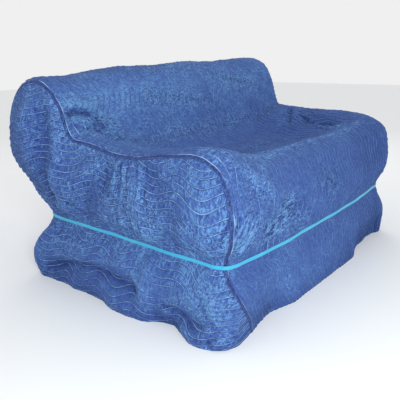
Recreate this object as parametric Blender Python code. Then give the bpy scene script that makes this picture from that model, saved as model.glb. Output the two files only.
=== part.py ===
"""Fitted two-seat furniture cover of quilted moving-blanket cloth, drawn in round its middle by a band.

The cover is an open-bottomed hollow of three sewn panels, shaped by the backrest, seat and arms that it is
made for. One long panel runs from the rear hem over the backrest, down to the seat and down the front. A
panel fills each side, a folded binding lies along each of the two seams, and one band goes round everything.

Sizes are in metres. The design frame has x to the right, y to the rear from the cover's front and z up
from its hem. The finished objects are moved so that the point under the top where the cover is held up
is the origin.
"""

from collections import namedtuple

import bmesh
import bpy
import numpy as np

# Driving sizes of the cover.
HALF_WIDTH = 0.800
CLOTH_THICK = 0.004
SEAM_RADIUS = 0.075
BAND_LOW = 0.272
BAND_HIGH = 0.290
BAND_MIDDLE = 0.5 * (BAND_LOW + BAND_HIGH)
BAND_THICK = 0.002
BINDING_HALF = 0.008
BINDING_THICK = 0.0025
BINDING_CLEAR = 0.0004
BINDING_PASS = 0.011
UNDER_BINDING = 0.009
HEM_TOUCH = 1e-6
BAND_CLEAR = 0.0004
BAND_EASE = 0.0008
SEAM_SHARE = 0.0002
SHARP_ANGLE = 0.7

# How the half width changes over the cover.
REST_WIDENING = {-1: 0.045, 1: 0.078}
REST_FROM = 0.62
REST_TO = 0.88
REST_FOOT = 0.42
REST_FULL = 0.62
WAIST_DEPTH = 0.045
WAIST_REACH = 0.075
SKIRT_FLARE = 0.025
SKIRT_REACH = 0.20

# How far the sides swell outwards between their edges.
SIDE_SWELL = 0.030
SIDE_SWELL_FROM = 0.6 * SEAM_RADIUS
SIDE_SWELL_REACH = 0.22
REST_SWELL = 0.045
REST_MIDDLE = 0.70
REST_HEIGHT = 0.22

# The band isn't level: the cloth round it is lowered or lifted, up to a height where it is level again.
TILT_LOW = -0.010
TILT_REAR = 0.020
TILT_RIGHT = 0.022
TILT_TOP = 0.550
TILT_FADE = 0.260

# Across the long panel: the arm's rise begins and ends at these shares of the half width.
RISE_FROM = 0.42
RISE_TO = 0.93
STEPS_ACROSS = 24

# The seam lies halfway round the rounded edge, where the edge turns from a panel's top to its side.
SEAM_TURN = np.pi / 4
SEAM_INSET = SEAM_RADIUS * (1 - np.cos(SEAM_TURN))

# The run of the long panel, from the rear hem over the top to the front hem. A row gives the number of mesh
# steps to the next row, then y and z of the outline at the left side, in the middle and at the right side.
RunRow = namedtuple("RunRow", "name steps left_y left_z mid_y mid_z right_y right_z")
RUN = (
    RunRow("rear_hem", 4, 1.125, 0.000, 1.130, 0.000, 1.140, 0.000),
    RunRow("rear_skirt", 2, 1.145, 0.140, 1.120, 0.150, 1.130, 0.140),
    RunRow("rear_band_low", 1, 1.085, BAND_LOW, 1.080, BAND_LOW, 1.085, BAND_LOW),
    RunRow("rear_band_high", 3, 1.085, BAND_HIGH, 1.080, BAND_HIGH, 1.085, BAND_HIGH),
    RunRow("rear_sag", 3, 1.140, 0.390, 1.130, 0.390, 1.140, 0.390),
    RunRow("rear_swell", 4, 1.230, 0.530, 1.170, 0.540, 1.185, 0.540),
    RunRow("rear_bulge", 3, 1.238, 0.690, 1.180, 0.720, 1.195, 0.710),
    RunRow("rear_shoulder", 2, 1.190, 0.830, 1.150, 0.860, 1.165, 0.850),
    RunRow("crest_rear", 2, 1.090, 0.925, 1.070, 0.955, 1.080, 0.960),
    RunRow("crest", 2, 0.970, 0.948, 0.965, 0.987, 0.965, 1.003),
    RunRow("crest_front", 2, 0.865, 0.905, 0.860, 0.950, 0.850, 0.965),
    RunRow("rest_high", 2, 0.808, 0.825, 0.800, 0.860, 0.775, 0.870),
    RunRow("rest_low", 2, 0.788, 0.760, 0.752, 0.745, 0.738, 0.780),
    RunRow("arm_root", 2, 0.766, 0.709, 0.712, 0.665, 0.705, 0.722),
    RunRow("arm_shelf", 2, 0.705, 0.698, 0.640, 0.618, 0.650, 0.714),
    RunRow("arm_rear", 3, 0.590, 0.672, 0.530, 0.588, 0.540, 0.706),
    RunRow("arm_middle", 3, 0.430, 0.665, 0.390, 0.572, 0.380, 0.700),
    RunRow("arm_front", 3, 0.240, 0.694, 0.240, 0.590, 0.220, 0.697),
    RunRow("front_ridge", 2, 0.085, 0.695, 0.115, 0.624, 0.090, 0.674),
    RunRow("front_brow", 3, 0.000, 0.640, 0.025, 0.592, 0.005, 0.625),
    RunRow("front_chest", 4, -0.046, 0.530, -0.028, 0.500, -0.025, 0.530),
    RunRow("front_sag", 3, -0.046, 0.390, -0.032, 0.390, -0.025, 0.390),
    RunRow("front_band_high", 1, 0.004, BAND_HIGH, -0.018, BAND_HIGH, 0.008, BAND_HIGH),
    RunRow("front_band_low", 2, 0.004, BAND_LOW, -0.018, BAND_LOW, 0.008, BAND_LOW),
    RunRow("front_skirt", 4, -0.046, 0.140, -0.020, 0.150, -0.020, 0.140),
    RunRow("front_hem", 0, -0.050, 0.000, 0.005, 0.000, -0.010, 0.000),
)
# A side panel's upper edge follows the run between these two rows.
SIDE_TOP_FROM = "rear_bulge"
SIDE_TOP_TO = "front_brow"

# Soft folds laid over the base form. Each follows a path of points, rises by its height along the surface's
# outward direction, or sinks where the height is negative, and fades over its width.
SEAM_CALM = 0.012
SEAM_FREE = 0.075
BAND_CALM = 0.030
Fold = namedtuple("Fold", "name height width path")
FOLDS = (
    Fold("crest_dip", -0.014, 0.20, ((-0.62, 0.97, 0.98), (-0.20, 0.97, 0.99))),
    Fold("end_ridge_outer", 0.012, 0.045, ((-0.85, 0.99, 0.88), (-0.90, 0.96, 0.72), (-0.90, 0.95, 0.56))),
    Fold("end_valley", -0.026, 0.040, ((-0.86, 0.90, 0.79), (-0.89, 0.88, 0.62), (-0.85, 0.93, 0.42))),
    Fold("end_ridge_inner", 0.022, 0.045, ((-0.84, 0.82, 0.74), (-0.87, 0.82, 0.60), (-0.86, 0.85, 0.48))),
    Fold("pleat_light", 0.016, 0.040, ((-0.80, 0.42, 0.60), (-0.80, 0.36, 0.36), (-0.83, 0.35, 0.10))),
    Fold("pleat_dark_right", -0.014, 0.050, ((-0.80, 0.34, 0.60), (-0.83, 0.22, 0.46), (-0.80, 0.24, 0.32))),
    Fold("pleat_dark_left", -0.016, 0.045, ((-0.80, 0.55, 0.59), (-0.83, 0.69, 0.46), (-0.80, 0.73, 0.34))),
    Fold("pleat_streak", 0.016, 0.045, ((-0.80, 0.62, 0.61), (-0.84, 0.79, 0.47), (-0.82, 0.86, 0.38))),
    Fold("corner_bulge", 0.012, 0.070, ((-0.79, 0.06, 0.56), (-0.79, 0.06, 0.40))),
    Fold("skirt_crease", -0.026, 0.035, ((-0.83, 0.98, 0.08), (-0.83, 0.70, 0.13), (-0.83, 0.44, 0.11))),
    Fold("skirt_flap", 0.014, 0.035, ((-0.83, 0.82, 0.03), (-0.83, 0.60, 0.05), (-0.83, 0.45, 0.03))),
    Fold("skirt_tuck", -0.028, 0.050, ((-0.83, 0.28, 0.00), (-0.83, 0.24, 0.00))),
    Fold("hem_spread", 0.032, 0.090, ((-0.83, 0.52, 0.00), (-0.83, 0.37, 0.00))),
    Fold("rear_corner_flare", 0.030, 0.080, ((-0.82, 1.05, 0.18), (-0.82, 1.07, 0.10))),
    Fold("corner_pool", 0.045, 0.080, ((-0.83, 0.08, 0.00), (-0.83, 0.02, 0.06))),
    Fold("corner_crease", -0.020, 0.035, ((-0.83, 0.20, 0.08), (-0.83, 0.10, 0.08), (-0.80, 0.00, 0.10))),
    Fold("front_tension", 0.012, 0.050, ((-0.72, 0.03, 0.65), (-0.59, -0.02, 0.57), (-0.48, -0.03, 0.50))),
    Fold("front_hollow", -0.014, 0.060, ((-0.54, -0.03, 0.39), (-0.38, -0.03, 0.44), (-0.30, -0.03, 0.38))),
    Fold("front_seat_line", -0.010, 0.060, ((-0.10, -0.02, 0.48), (0.30, -0.02, 0.50), (0.60, -0.02, 0.48))),
    Fold("front_hem_push", 0.055, 0.120, ((-0.33, 0.00, 0.00), (0.26, 0.00, 0.00))),
    Fold("front_hem_tuck", -0.020, 0.120, ((0.64, 0.00, 0.00), (0.80, 0.00, 0.00))),
    Fold("puff", 0.030, 0.050, ((-0.78, 0.77, 0.73), (-0.70, 0.75, 0.72))),
    Fold("puff_notch", -0.035, 0.035, ((-0.67, 0.76, 0.72), (-0.65, 0.71, 0.69))),
    Fold("right_arm_dent", -0.020, 0.060, ((0.58, 0.40, 0.66), (0.52, 0.24, 0.65))),
    Fold("rear_swag", -0.020, 0.090, ((-0.55, 1.17, 0.70), (-0.35, 1.16, 0.50), (-0.30, 1.12, 0.36))),
    Fold("rear_drape", 0.018, 0.080, ((0.15, 1.17, 0.72), (0.25, 1.16, 0.50), (0.22, 1.12, 0.36))),
    Fold("rear_hem_wave", 0.020, 0.100, ((0.45, 1.13, 0.15), (0.50, 1.13, 0.00))),
    Fold("right_pleat", 0.018, 0.050, ((0.81, 0.40, 0.62), (0.83, 0.46, 0.44), (0.81, 0.48, 0.34))),
    Fold("right_valley", -0.020, 0.055, ((0.87, 0.86, 0.74), (0.88, 0.84, 0.56), (0.85, 0.74, 0.42))),
    Fold("right_skirt_crease", -0.022, 0.040, ((0.83, 0.90, 0.10), (0.83, 0.60, 0.12), (0.83, 0.40, 0.09))),
    Fold("right_corner_flare", 0.030, 0.080, ((0.83, 1.08, 0.10), (0.83, 1.08, 0.02))),
)

# The two sides: the direction of x, the long panel's column at the seam, and how far the seam
# wanders round the corner towards the long panel between band and hem, at the rear and the front.
Side = namedtuple("Side", "name sign column rear_slide front_slide")
SIDES = (Side("left", -1, 0, 0.03, 0.15), Side("right", 1, -1, -0.02, 0.05))
SLIDE_REACH = 0.45

Panel = namedtuple("Panel", "points normals triangles")
Seam = namedtuple("Seam", "points normals long_leg end_leg")

CREST = next(row for row in RUN if row.name == "crest")
HOLD_POINT = np.array([0.0, CREST.mid_y, CREST.mid_z - CLOTH_THICK])

BLUE = (0.055, 0.115, 0.330, 1.0)
BINDING_BLUE = (0.030, 0.060, 0.200, 1.0)
BAND_CYAN = (0.035, 0.400, 0.620, 1.0)


def spline(knots, values, where):
    """Smooth curve through rows of values at the knots, read at the places in where."""
    spans = np.diff(knots)[:, None]
    slopes = np.diff(values, axis=0) / spans
    inner = (slopes[:-1] * spans[1:] + slopes[1:] * spans[:-1]) / (spans[:-1] + spans[1:])
    tangents = np.vstack([slopes[:1], inner, slopes[-1:]])
    index = np.clip(np.searchsorted(knots, where, side="right") - 1, 0, len(spans) - 1)
    share = (where - knots[index])[:, None] / spans[index]
    ease = share * share * (3 - 2 * share)
    leave = share * (1 - share) ** 2 * spans[index]
    arrive = share * share * (share - 1) * spans[index]
    chord = (1 - ease) * values[index] + ease * values[index + 1]
    return chord + leave * tangents[index] + arrive * tangents[index + 1]


def smooth_step(value, low, high):
    """Rises from 0 at low to 1 at high, flat at both ends."""
    share = np.clip((value - low) / (high - low), 0.0, 1.0)
    return share * share * (3 - 2 * share)


def bell(value, centre, width):
    """A soft bump of height 1."""
    return np.exp(-(((value - centre) / width) ** 2))


def unit(vectors):
    """The vectors scaled to length 1."""
    return vectors / np.maximum(np.linalg.norm(vectors, axis=-1, keepdims=True), 1e-12)


def half_width(y, z, sign):
    """Half the cover's width at a place on its side: drawn in at the band, wider at backrest and hem."""
    rest = REST_WIDENING[sign] * smooth_step(y, REST_FROM, REST_TO) * smooth_step(z, REST_FOOT, REST_FULL)
    waist = WAIST_DEPTH * bell(z, BAND_MIDDLE, WAIST_REACH)
    skirt = SKIRT_FLARE * smooth_step(BAND_MIDDLE - z, 0.0, SKIRT_REACH)
    return HALF_WIDTH + rest - waist + skirt


def run_outline():
    """The run's mesh rows: outline (y, z) at the left, the middle and the right, as rows x 3 x 2."""
    table = np.array([row[2:] for row in RUN]).reshape(len(RUN), 3, 2)
    lengths = np.linalg.norm(np.diff(table, axis=0), axis=2).mean(axis=1)
    knots = np.concatenate([[0.0], np.cumsum(lengths)])
    places = [knots[-1]]
    for index, row in reversed(list(enumerate(RUN[:-1]))):
        span = knots[index + 1] - knots[index]
        places += [knots[index] + span * step / row.steps for step in reversed(range(row.steps))]
    where = np.array(places[::-1])
    return spline(knots, table.reshape(len(RUN), 6), where).reshape(-1, 3, 2)


def run_index(name):
    """The mesh row at which a named row of the run lies."""
    names = [row.name for row in RUN]
    return sum(row.steps for row in RUN[: names.index(name)])


def outward(outline):
    """Unit directions pointing out of the outline, square to its run."""
    along = np.gradient(outline, axis=0)
    return unit(np.stack([along[..., 1], -along[..., 0]], axis=-1))


def tilt(points):
    """Lowers or lifts the cloth round its middle, because the band dips towards the left front corner."""
    across = (points[..., 0] / HALF_WIDTH + 1) / 2
    rise = TILT_LOW + TILT_REAR * points[..., 1] + TILT_RIGHT * across
    height = points[..., 2]
    fade = smooth_step(TILT_TOP - height, 0.0, TILT_FADE)
    points[..., 2] += rise * fade * smooth_step(height, 0.0, BAND_LOW)


def fold_offset(points, seams):
    """How far the folds push each point outwards. They die out at the band and near the seams."""
    total = np.zeros(points.shape[:-1])
    for fold in FOLDS:
        path = np.array(fold.path)
        near = np.full(points.shape[:-1], np.inf)
        for start, end in zip(path[:-1], path[1:]):
            leg = end - start
            share = np.clip(((points - start) @ leg) / (leg @ leg), 0.0, 1.0)
            near = np.minimum(near, np.linalg.norm(points - start - share[..., None] * leg, axis=-1))
        total += fold.height * np.exp(-((near / fold.width) ** 2))
    calm = np.minimum(*(distance_to(points, seam) for seam in seams))
    total = total * (1 - bell(points[..., 2], BAND_MIDDLE, BAND_CALM))
    return total * smooth_step(calm, SEAM_CALM, SEAM_FREE)


def long_panel_points(outline):
    """The long panel's base surface, as mesh rows along the run x columns from left to right x 3."""
    across = np.linspace(-1.0, 1.0, STEPS_ACROSS + 1)
    middle = outline[:, 1]
    normals = outward(outline)
    columns = []
    for place in across:
        side = 0 if place < 0 else 2
        edge = half_width(outline[:, side, 0], outline[:, side, 1], side - 1)
        flat = edge - SEAM_RADIUS
        length = abs(place) * (flat + SEAM_RADIUS * SEAM_TURN)
        turn = np.maximum(length - flat, 0.0) / SEAM_RADIUS
        x = np.minimum(length, flat) + SEAM_RADIUS * np.sin(turn)
        rise = smooth_step(x / edge, RISE_FROM, RISE_TO)[:, None]
        level = middle + (outline[:, side] - middle) * rise
        facing = unit(normals[:, 1] * (1 - rise) + normals[:, side] * rise)
        level = level - facing * (SEAM_RADIUS * (1 - np.cos(turn)))[:, None]
        columns.append(np.column_stack([np.sign(place) * x, level]))
    points = np.stack(columns, axis=1)
    points[0, :, 2] = points[-1, :, 2] = 0.0
    return points


def coons(top, bottom, rear, front):
    """A grid that fills four edges. The rows go from top to bottom and the columns from rear to front."""
    a = np.linspace(0.0, 1.0, len(top))[None, :, None]
    b = np.linspace(0.0, 1.0, len(rear))[:, None, None]
    lengthways = (1 - b) * top[None] + b * bottom[None]
    crossways = (1 - a) * rear[:, None] + a * front[:, None]
    corners = (1 - a) * ((1 - b) * top[0] + b * bottom[0]) + a * ((1 - b) * top[-1] + b * bottom[-1])
    return lengthways + crossways - corners


def distance_to(points, seam):
    """Each point's distance from the seam's line, in as many dimensions as both have."""
    starts = seam[:-1]
    legs = np.diff(seam, axis=0)
    gap = points[..., None, :] - starts
    share = np.clip((gap * legs).sum(-1) / (legs * legs).sum(-1), 0.0, 1.0)
    return np.linalg.norm(gap - share[..., None] * legs, axis=-1).min(axis=-1)


def side_panel_points(seam, sign):
    """A side panel's base surface inside its seam, as rows from the top down x columns front to rear."""
    top_from = run_index(SIDE_TOP_FROM)
    top_to = run_index(SIDE_TOP_TO)
    rear = seam[: top_from + 1][::-1]
    top = seam[top_from : top_to + 1]
    front = seam[top_to:]
    high = len(rear) - 1 - run_index("rear_band_high")
    low = high + 1
    share = np.linspace(0.0, 1.0, len(top))[:, None]
    lines = [rear[row] + share * (front[row] - rear[row]) for row in (high, low, len(rear) - 1)]
    upper = coons(top[:, 1:], lines[0][:, 1:], rear[: high + 1, 1:], front[: high + 1, 1:])
    lower = coons(lines[1][:, 1:], lines[2][:, 1:], rear[low:, 1:], front[low:, 1:])
    flat = np.concatenate([upper, lower])
    reach = distance_to(flat, seam[:, 1:]) + SEAM_INSET
    turn = np.arccos(1 - np.minimum(reach, SEAM_RADIUS) / SEAM_RADIUS)
    rest = smooth_step(flat[..., 0], REST_FROM, REST_TO) * bell(flat[..., 1], REST_MIDDLE, REST_HEIGHT)
    swell = (SIDE_SWELL + REST_SWELL * rest) * smooth_step(reach, SIDE_SWELL_FROM, SIDE_SWELL_REACH)
    swell *= (1 - bell(flat[..., 1], BAND_MIDDLE, WAIST_REACH)) * smooth_step(flat[..., 1], 0.0, BAND_MIDDLE)
    x = half_width(flat[..., 0], flat[..., 1], sign) - SEAM_RADIUS * (1 - np.sin(turn)) + swell
    points = np.concatenate([sign * x[..., None], flat], axis=-1)
    points[0] = top
    points[:, 0] = rear
    points[:, -1] = front
    return points


def grid_triangles(points):
    """Triangles over a grid, each quad split along its shorter diagonal."""
    rows, columns = points.shape[:2]
    index = np.arange(rows * columns).reshape(rows, columns)
    a, b, c, d = index[:-1, :-1], index[:-1, 1:], index[1:, 1:], index[1:, :-1]
    flat = points.reshape(-1, 3)
    first = np.linalg.norm(flat[a] - flat[c], axis=-1) <= np.linalg.norm(flat[b] - flat[d], axis=-1)
    one = np.where(first[..., None], np.stack([a, b, c], -1), np.stack([a, b, d], -1))
    two = np.where(first[..., None], np.stack([a, c, d], -1), np.stack([b, c, d], -1))
    return np.concatenate([one.reshape(-1, 3), two.reshape(-1, 3)])


def strip_triangles(lines, index):
    """Triangles between two lines of points, given with the index of each point."""
    return np.concatenate(index)[grid_triangles(np.stack(lines))]


def vertex_normals(points, triangles):
    """Area-weighted normals of the points."""
    corners = points[triangles]
    faces = np.cross(corners[:, 1] - corners[:, 0], corners[:, 2] - corners[:, 0])
    total = np.zeros_like(points)
    for corner in range(3):
        np.add.at(total, triangles[:, corner], faces)
    return unit(total)


def outer_triangles(points, mirrored):
    """A grid's triangles, turned so that they face out of the cover."""
    triangles = grid_triangles(points)
    return triangles if mirrored else triangles[:, ::-1]


def seam_places(name, shape):
    """Grid places of a panel's points along each of its seams, from the rear hem round to the front hem."""
    rows, columns = shape[:2]
    if name == "long":
        return {side.name: (np.arange(rows), np.full(rows, side.column % columns)) for side in SIDES}
    rear = [(row, 0) for row in range(rows - 1, 0, -1)]
    top = [(0, column) for column in range(columns)]
    front = [(row, columns - 1) for row in range(1, rows)]
    return {name: tuple(np.array(rear + top + front).T)}


def beside_seam(name, places, shape):
    """Grid places of the inner points next to a panel's seam points."""
    rows = places[0] if name == "long" else np.maximum(places[0], 1)
    return rows, np.clip(places[1], 1, shape[1] - 2)


def slide_row(side_row, long_row, amount):
    """Moves the seam between two rows, which both start at it, along the surface towards the long panel."""
    route = np.concatenate([side_row[::-1], long_row[1:]])
    reach = np.concatenate([[0.0], np.cumsum(np.linalg.norm(np.diff(route, axis=0), axis=1))])
    seam = reach[len(side_row) - 1]
    moved = reach + amount * np.maximum(1 - np.abs(reach - seam) / SLIDE_REACH, 0.0)
    places = np.column_stack([np.interp(moved, reach, route[:, axis]) for axis in range(3)])
    side_row[:] = places[: len(side_row)][::-1]
    long_row[:] = places[len(side_row) - 1 :]


def slide_seam(long_points, points, side):
    """Lets the seam wander round the cover's corners below the band."""
    inward = slice(None, None, -side.sign)
    top_from, top_to = run_index(SIDE_TOP_FROM), run_index(SIDE_TOP_TO)
    for row in range(top_from - run_index("rear_band_low") + 1, len(points)):
        share = smooth_step(BAND_LOW - points[row, 0, 2], 0.0, BAND_LOW)
        slide_row(points[row], long_points[top_from - row, inward], side.rear_slide * share)
        slide_row(points[row, ::-1], long_points[top_to + row, inward], side.front_slide * share)


def join_normals(grids):
    """Each grid's outward directions, shared where two panels meet and level along the hem."""
    normals = {}
    for name, points in grids.items():
        triangles = outer_triangles(points, name == "right")
        normals[name] = vertex_normals(points.reshape(-1, 3), triangles).reshape(points.shape)
    normals["long"][[0, -1], :, 2] = 0.0
    for side in SIDES:
        normals[side.name][-1, :, 2] = 0.0
        edge = seam_places("long", grids["long"].shape)[side.name]
        places = seam_places(side.name, grids[side.name].shape)[side.name]
        shared = unit(unit(normals["long"][edge]) + unit(normals[side.name][places]))
        normals["long"][edge] = normals[side.name][places] = shared
    return {name: unit(facing) for name, facing in normals.items()}


def cover_grids():
    """The outer surface of the three panels as grids that share their points along the seams."""
    long_points = long_panel_points(run_outline())
    grids = {"long": long_points}
    for side in SIDES:
        grids[side.name] = side_panel_points(long_points[:, side.column].copy(), side.sign)
        slide_seam(long_points, grids[side.name], side)
    normals = join_normals(grids)
    lines = [long_points[:, side.column].copy() for side in SIDES]
    for name, points in grids.items():
        points += fold_offset(points, lines)[..., None] * normals[name]
        tilt(points)
    return grids


def make_panel(name, grid, normals):
    """A panel's outer points, normals and triangles, and the lines beside its seams.

    The grid's edge is drawn in under the binding, and a narrow strip leads from there to the seam, so that
    the binding lies parallel to the cloth.
    """
    grid = grid.copy()
    index = np.arange(grid.shape[0] * grid.shape[1]).reshape(grid.shape[:2])
    count = index.size
    strips, edges, facings, legs = [], [], [], {}
    for side_name, places in seam_places(name, grid.shape).items():
        seam = grid[places]
        step = unit(grid[beside_seam(name, places, grid.shape)] - seam)
        edge, leg = seam + SEAM_SHARE * step, seam + UNDER_BINDING * step
        strip = strip_triangles((edge, leg), (count + np.arange(len(seam)), index[places]))
        turned = (name == "long") == (side_name == "right")
        strips.append(strip[:, ::-1] if turned else strip)
        edges.append(edge)
        facings.append(normals[places])
        legs[side_name] = grid[places] = leg
        count += len(seam)
    points = np.concatenate([grid.reshape(-1, 3), *edges])
    triangles = np.concatenate([*strips, outer_triangles(grid, name == "right")])
    facing = vertex_normals(points, triangles)
    facing[index.size :] = np.concatenate(facings)
    facing[points[:, 2] < HEM_TOUCH, 2] = 0.0
    return Panel(points, unit(facing), triangles), legs


def make_cover():
    """The three panels, and the two seams between them."""
    grids = cover_grids()
    normals = join_normals(grids)
    made = {name: make_panel(name, grid, normals[name]) for name, grid in grids.items()}
    seams = []
    for side in SIDES:
        edge = seam_places("long", grids["long"].shape)[side.name]
        legs = [made[name][1][side.name] for name in ("long", side.name)]
        seams.append(Seam(grids["long"][edge], normals["long"][edge], *legs))
    return grids, {name: panel for name, (panel, _) in made.items()}, seams


def sheet_mesh(panel):
    """Points and triangles of a closed sheet, which lies a cloth's thickness deep inside the panel's face.

    Each quad of its rim is split from the lower end of its edge, so that the rims of two panels match.
    """
    points, normals, triangles = panel
    count = len(points)
    inner = points - CLOTH_THICK * normals
    inner[:, 2] = np.maximum(inner[:, 2], 0.0)
    sides = np.concatenate([triangles[:, [0, 1]], triangles[:, [1, 2]], triangles[:, [2, 0]]])
    known = {tuple(side) for side in sides.tolist()}
    rim = np.array([side for side in sides.tolist() if (side[1], side[0]) not in known])
    low_first = (points[rim[:, 0], 2] < points[rim[:, 1], 2])[:, None]
    start, end = np.where(low_first, rim, rim[:, ::-1]).T
    near = np.column_stack([end, start, start + count])
    far = np.column_stack([end, start + count, end + count])
    faces = np.concatenate([triangles, triangles[:, ::-1] + count, near, far])
    return np.concatenate([points, inner]), faces


def bar_mesh(lines, closed, guides):
    """A bar with the given long edges. A guide is the pair of lines that sets a face's diagonals."""
    count = len(lines[0])
    faces = []
    for edge, line in enumerate(lines):
        other = (edge + 1) % len(lines)
        pair = guides.get(edge, (line, lines[other]))
        index = [np.arange(count) + edge * count, np.arange(count) + other * count]
        if closed:
            pair = [np.vstack([part, part[:1]]) for part in pair]
            index = [np.append(part, part[0]) for part in index]
        faces.append(strip_triangles(pair, index))
    if not closed:
        for end in (0, count - 1):
            corners = [end + edge * count for edge in range(len(lines))]
            faces.append([(corners[0], one, two) for one, two in zip(corners[1:], corners[2:])])
    return np.concatenate(lines), np.concatenate(faces)


def binding_mesh(seam):
    """A folded tape along a seam, lying on both panels."""
    along = np.gradient(seam.points, axis=0)
    legs = []
    for line in (seam.long_leg, seam.end_leg):
        out = unit(line - seam.points)
        facing = unit(np.cross(along, out))
        legs.append((out, facing * np.sign((facing * seam.normals).sum(axis=1))[:, None]))
    mitre = 1 / (legs[0][1] * seam.normals).sum(axis=1)[:, None]
    layers = []
    for height in (BINDING_CLEAR, BINDING_CLEAR + BINDING_THICK):
        edges = [seam.points + BINDING_HALF * out + height * facing for out, facing in legs]
        layers.append([edges[0], seam.points + height * mitre * seam.normals, edges[1]])
    lines = layers[0] + layers[1][::-1]
    for line in lines:
        line[[0, -1], 2] = 0.0
    return bar_mesh(lines, False, {0: (seam.long_leg, seam.points), 1: (seam.points, seam.end_leg)})


def band_route(grids):
    """The band's stations round the cover, low and high, and how far each stands off the cloth."""
    rear, front = run_index("rear_band_low"), run_index("front_band_low")
    row = run_index(SIDE_TOP_FROM) - rear
    long_points, left, right = (grids[name] for name in ("long", "left", "right"))
    runs = (
        (long_points[rear], long_points[rear + 1]),
        (right[row, 1:-1], right[row - 1, 1:-1]),
        (long_points[front, ::-1], long_points[front - 1, ::-1]),
        (left[row, -2:0:-1], left[row - 1, -2:0:-1]),
    )
    ring = np.concatenate([np.stack(lines, axis=1) for lines in runs])
    wide, deep = long_points.shape[1], right.shape[1] - 2
    crossings = (0, wide - 1, wide + deep, 2 * wide + deep - 1)
    places, lifts = [], []
    for station, place in enumerate(ring):
        if station not in crossings:
            places.append(place)
            lifts.append(BAND_CLEAR)
            continue
        for beside in (ring[station - 1], place, ring[(station + 1) % len(ring)]):
            places.append(place + BINDING_PASS * unit(beside - place))
            lifts.append(BAND_EASE + BINDING_CLEAR + BINDING_THICK)
    return np.array(places), np.array(lifts)


def band_mesh(grids):
    """The band, a closed strip that lies on the cloth and passes over the bindings."""
    places, lifts = band_route(grids)
    flat = places.mean(axis=1)[:, :2]
    before = unit(flat - np.roll(flat, 1, axis=0))
    after = unit(np.roll(flat, -1, axis=0) - flat)
    facing = unit(before + after)[:, ::-1] * (-1, 1)
    mitre = 1 / (facing * (before[:, ::-1] * (-1, 1))).sum(axis=1)
    out = np.column_stack([facing * mitre[:, None], np.zeros(len(facing))])
    low, high = places[:, 0], places[:, 1]
    lines = []
    for height, ends in ((lifts, (low, high)), (lifts + BAND_THICK, (high, low))):
        lines += [end + height[:, None] * out for end in ends]
    return bar_mesh(lines, True, {0: (low, high)})


def cloth_material(name, colour, roughness):
    """A plain cloth finish."""
    material = bpy.data.materials.new(name)
    material.use_nodes = True
    shader = material.node_tree.nodes["Principled BSDF"]
    shader.inputs["Base Color"].default_value = colour
    shader.inputs["Roughness"].default_value = roughness
    shader.inputs["Metallic"].default_value = 0.0
    return material


def add_object(name, points, faces, material, parent):
    """A closed object from points and triangles, with its faces turned outwards."""
    mesh = bpy.data.meshes.new(name)
    mesh.from_pydata(points.tolist(), [], faces.tolist())
    shape = bmesh.new()
    shape.from_mesh(mesh)
    bmesh.ops.recalc_face_normals(shape, faces=shape.faces)
    shape.to_mesh(mesh)
    shape.free()
    mesh.shade_smooth()
    mesh.set_sharp_from_angle(angle=SHARP_ANGLE)
    mesh.materials.append(material)
    made = bpy.data.objects.new(name, mesh)
    bpy.context.collection.objects.link(made)
    made.parent = parent


def main():
    """Clears the scene and builds the cover."""
    for old in list(bpy.data.objects):
        bpy.data.objects.remove(old, do_unlink=True)
    origin = bpy.data.objects.new("design_frame", None)
    origin.location = (-HOLD_POINT).tolist()
    bpy.context.collection.objects.link(origin)
    cloth = cloth_material("quilted_cloth", BLUE, 0.85)
    tape = cloth_material("binding_tape", BINDING_BLUE, 0.75)
    webbing = cloth_material("band_webbing", BAND_CYAN, 0.45)
    grids, panels, seams = make_cover()
    for name, panel in panels.items():
        add_object(name + "_panel", *sheet_mesh(panel), cloth, origin)
    for side, seam in zip(SIDES, seams):
        add_object(side.name + "_binding", *binding_mesh(seam), tape, origin)
    add_object("band", *band_mesh(grids), webbing, origin)


main()
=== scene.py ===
"""Dressed model of a fitted two-seat furniture cover in quilted moving-blanket cloth.

Three quilted panels make an open-bottomed hollow: one long panel runs from the rear hem over the backrest
to the front hem, and one fills each side. A flat tape binds each of the two seams and a webbing band draws
the cover in round its middle. The base form repeats the solids' own rule at a finer step, so each sheet lies
on its solid. On top of it come narrow creases, gathers at the band, the padding between the wavy quilting
lines, and their thread.

Lengths are in metres. The design frame has x to the right, y to the rear and z up from the hem. Finished
meshes are moved to the frame of the loaded model, whose origin lies under the top of the backrest.
"""

import logging
import math
from dataclasses import dataclass, field
from enum import Enum
from functools import partialmethod
from typing import NamedTuple

import bpy
import numpy as np
from bpy.types import Material, Node, NodeSocket, Object
from mathutils import Matrix, Vector


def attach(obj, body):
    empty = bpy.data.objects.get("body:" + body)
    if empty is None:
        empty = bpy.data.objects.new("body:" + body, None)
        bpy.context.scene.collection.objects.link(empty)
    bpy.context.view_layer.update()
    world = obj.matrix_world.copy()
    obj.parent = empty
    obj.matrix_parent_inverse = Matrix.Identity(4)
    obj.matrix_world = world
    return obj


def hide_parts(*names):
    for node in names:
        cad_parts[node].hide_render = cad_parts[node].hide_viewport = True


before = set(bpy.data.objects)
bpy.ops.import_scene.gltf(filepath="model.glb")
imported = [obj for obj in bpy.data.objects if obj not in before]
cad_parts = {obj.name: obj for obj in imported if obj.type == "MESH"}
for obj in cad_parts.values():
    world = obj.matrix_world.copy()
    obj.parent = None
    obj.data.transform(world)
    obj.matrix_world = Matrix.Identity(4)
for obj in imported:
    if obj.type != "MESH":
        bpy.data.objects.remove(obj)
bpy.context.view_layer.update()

LOG = logging.getLogger("cover")
BODY = "root"

Points = np.ndarray
Lines = list[np.ndarray]
Pair = tuple[float, float]
Triple = tuple[float, float, float]


# The cover's own sizes and its run, as the solids have them


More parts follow.
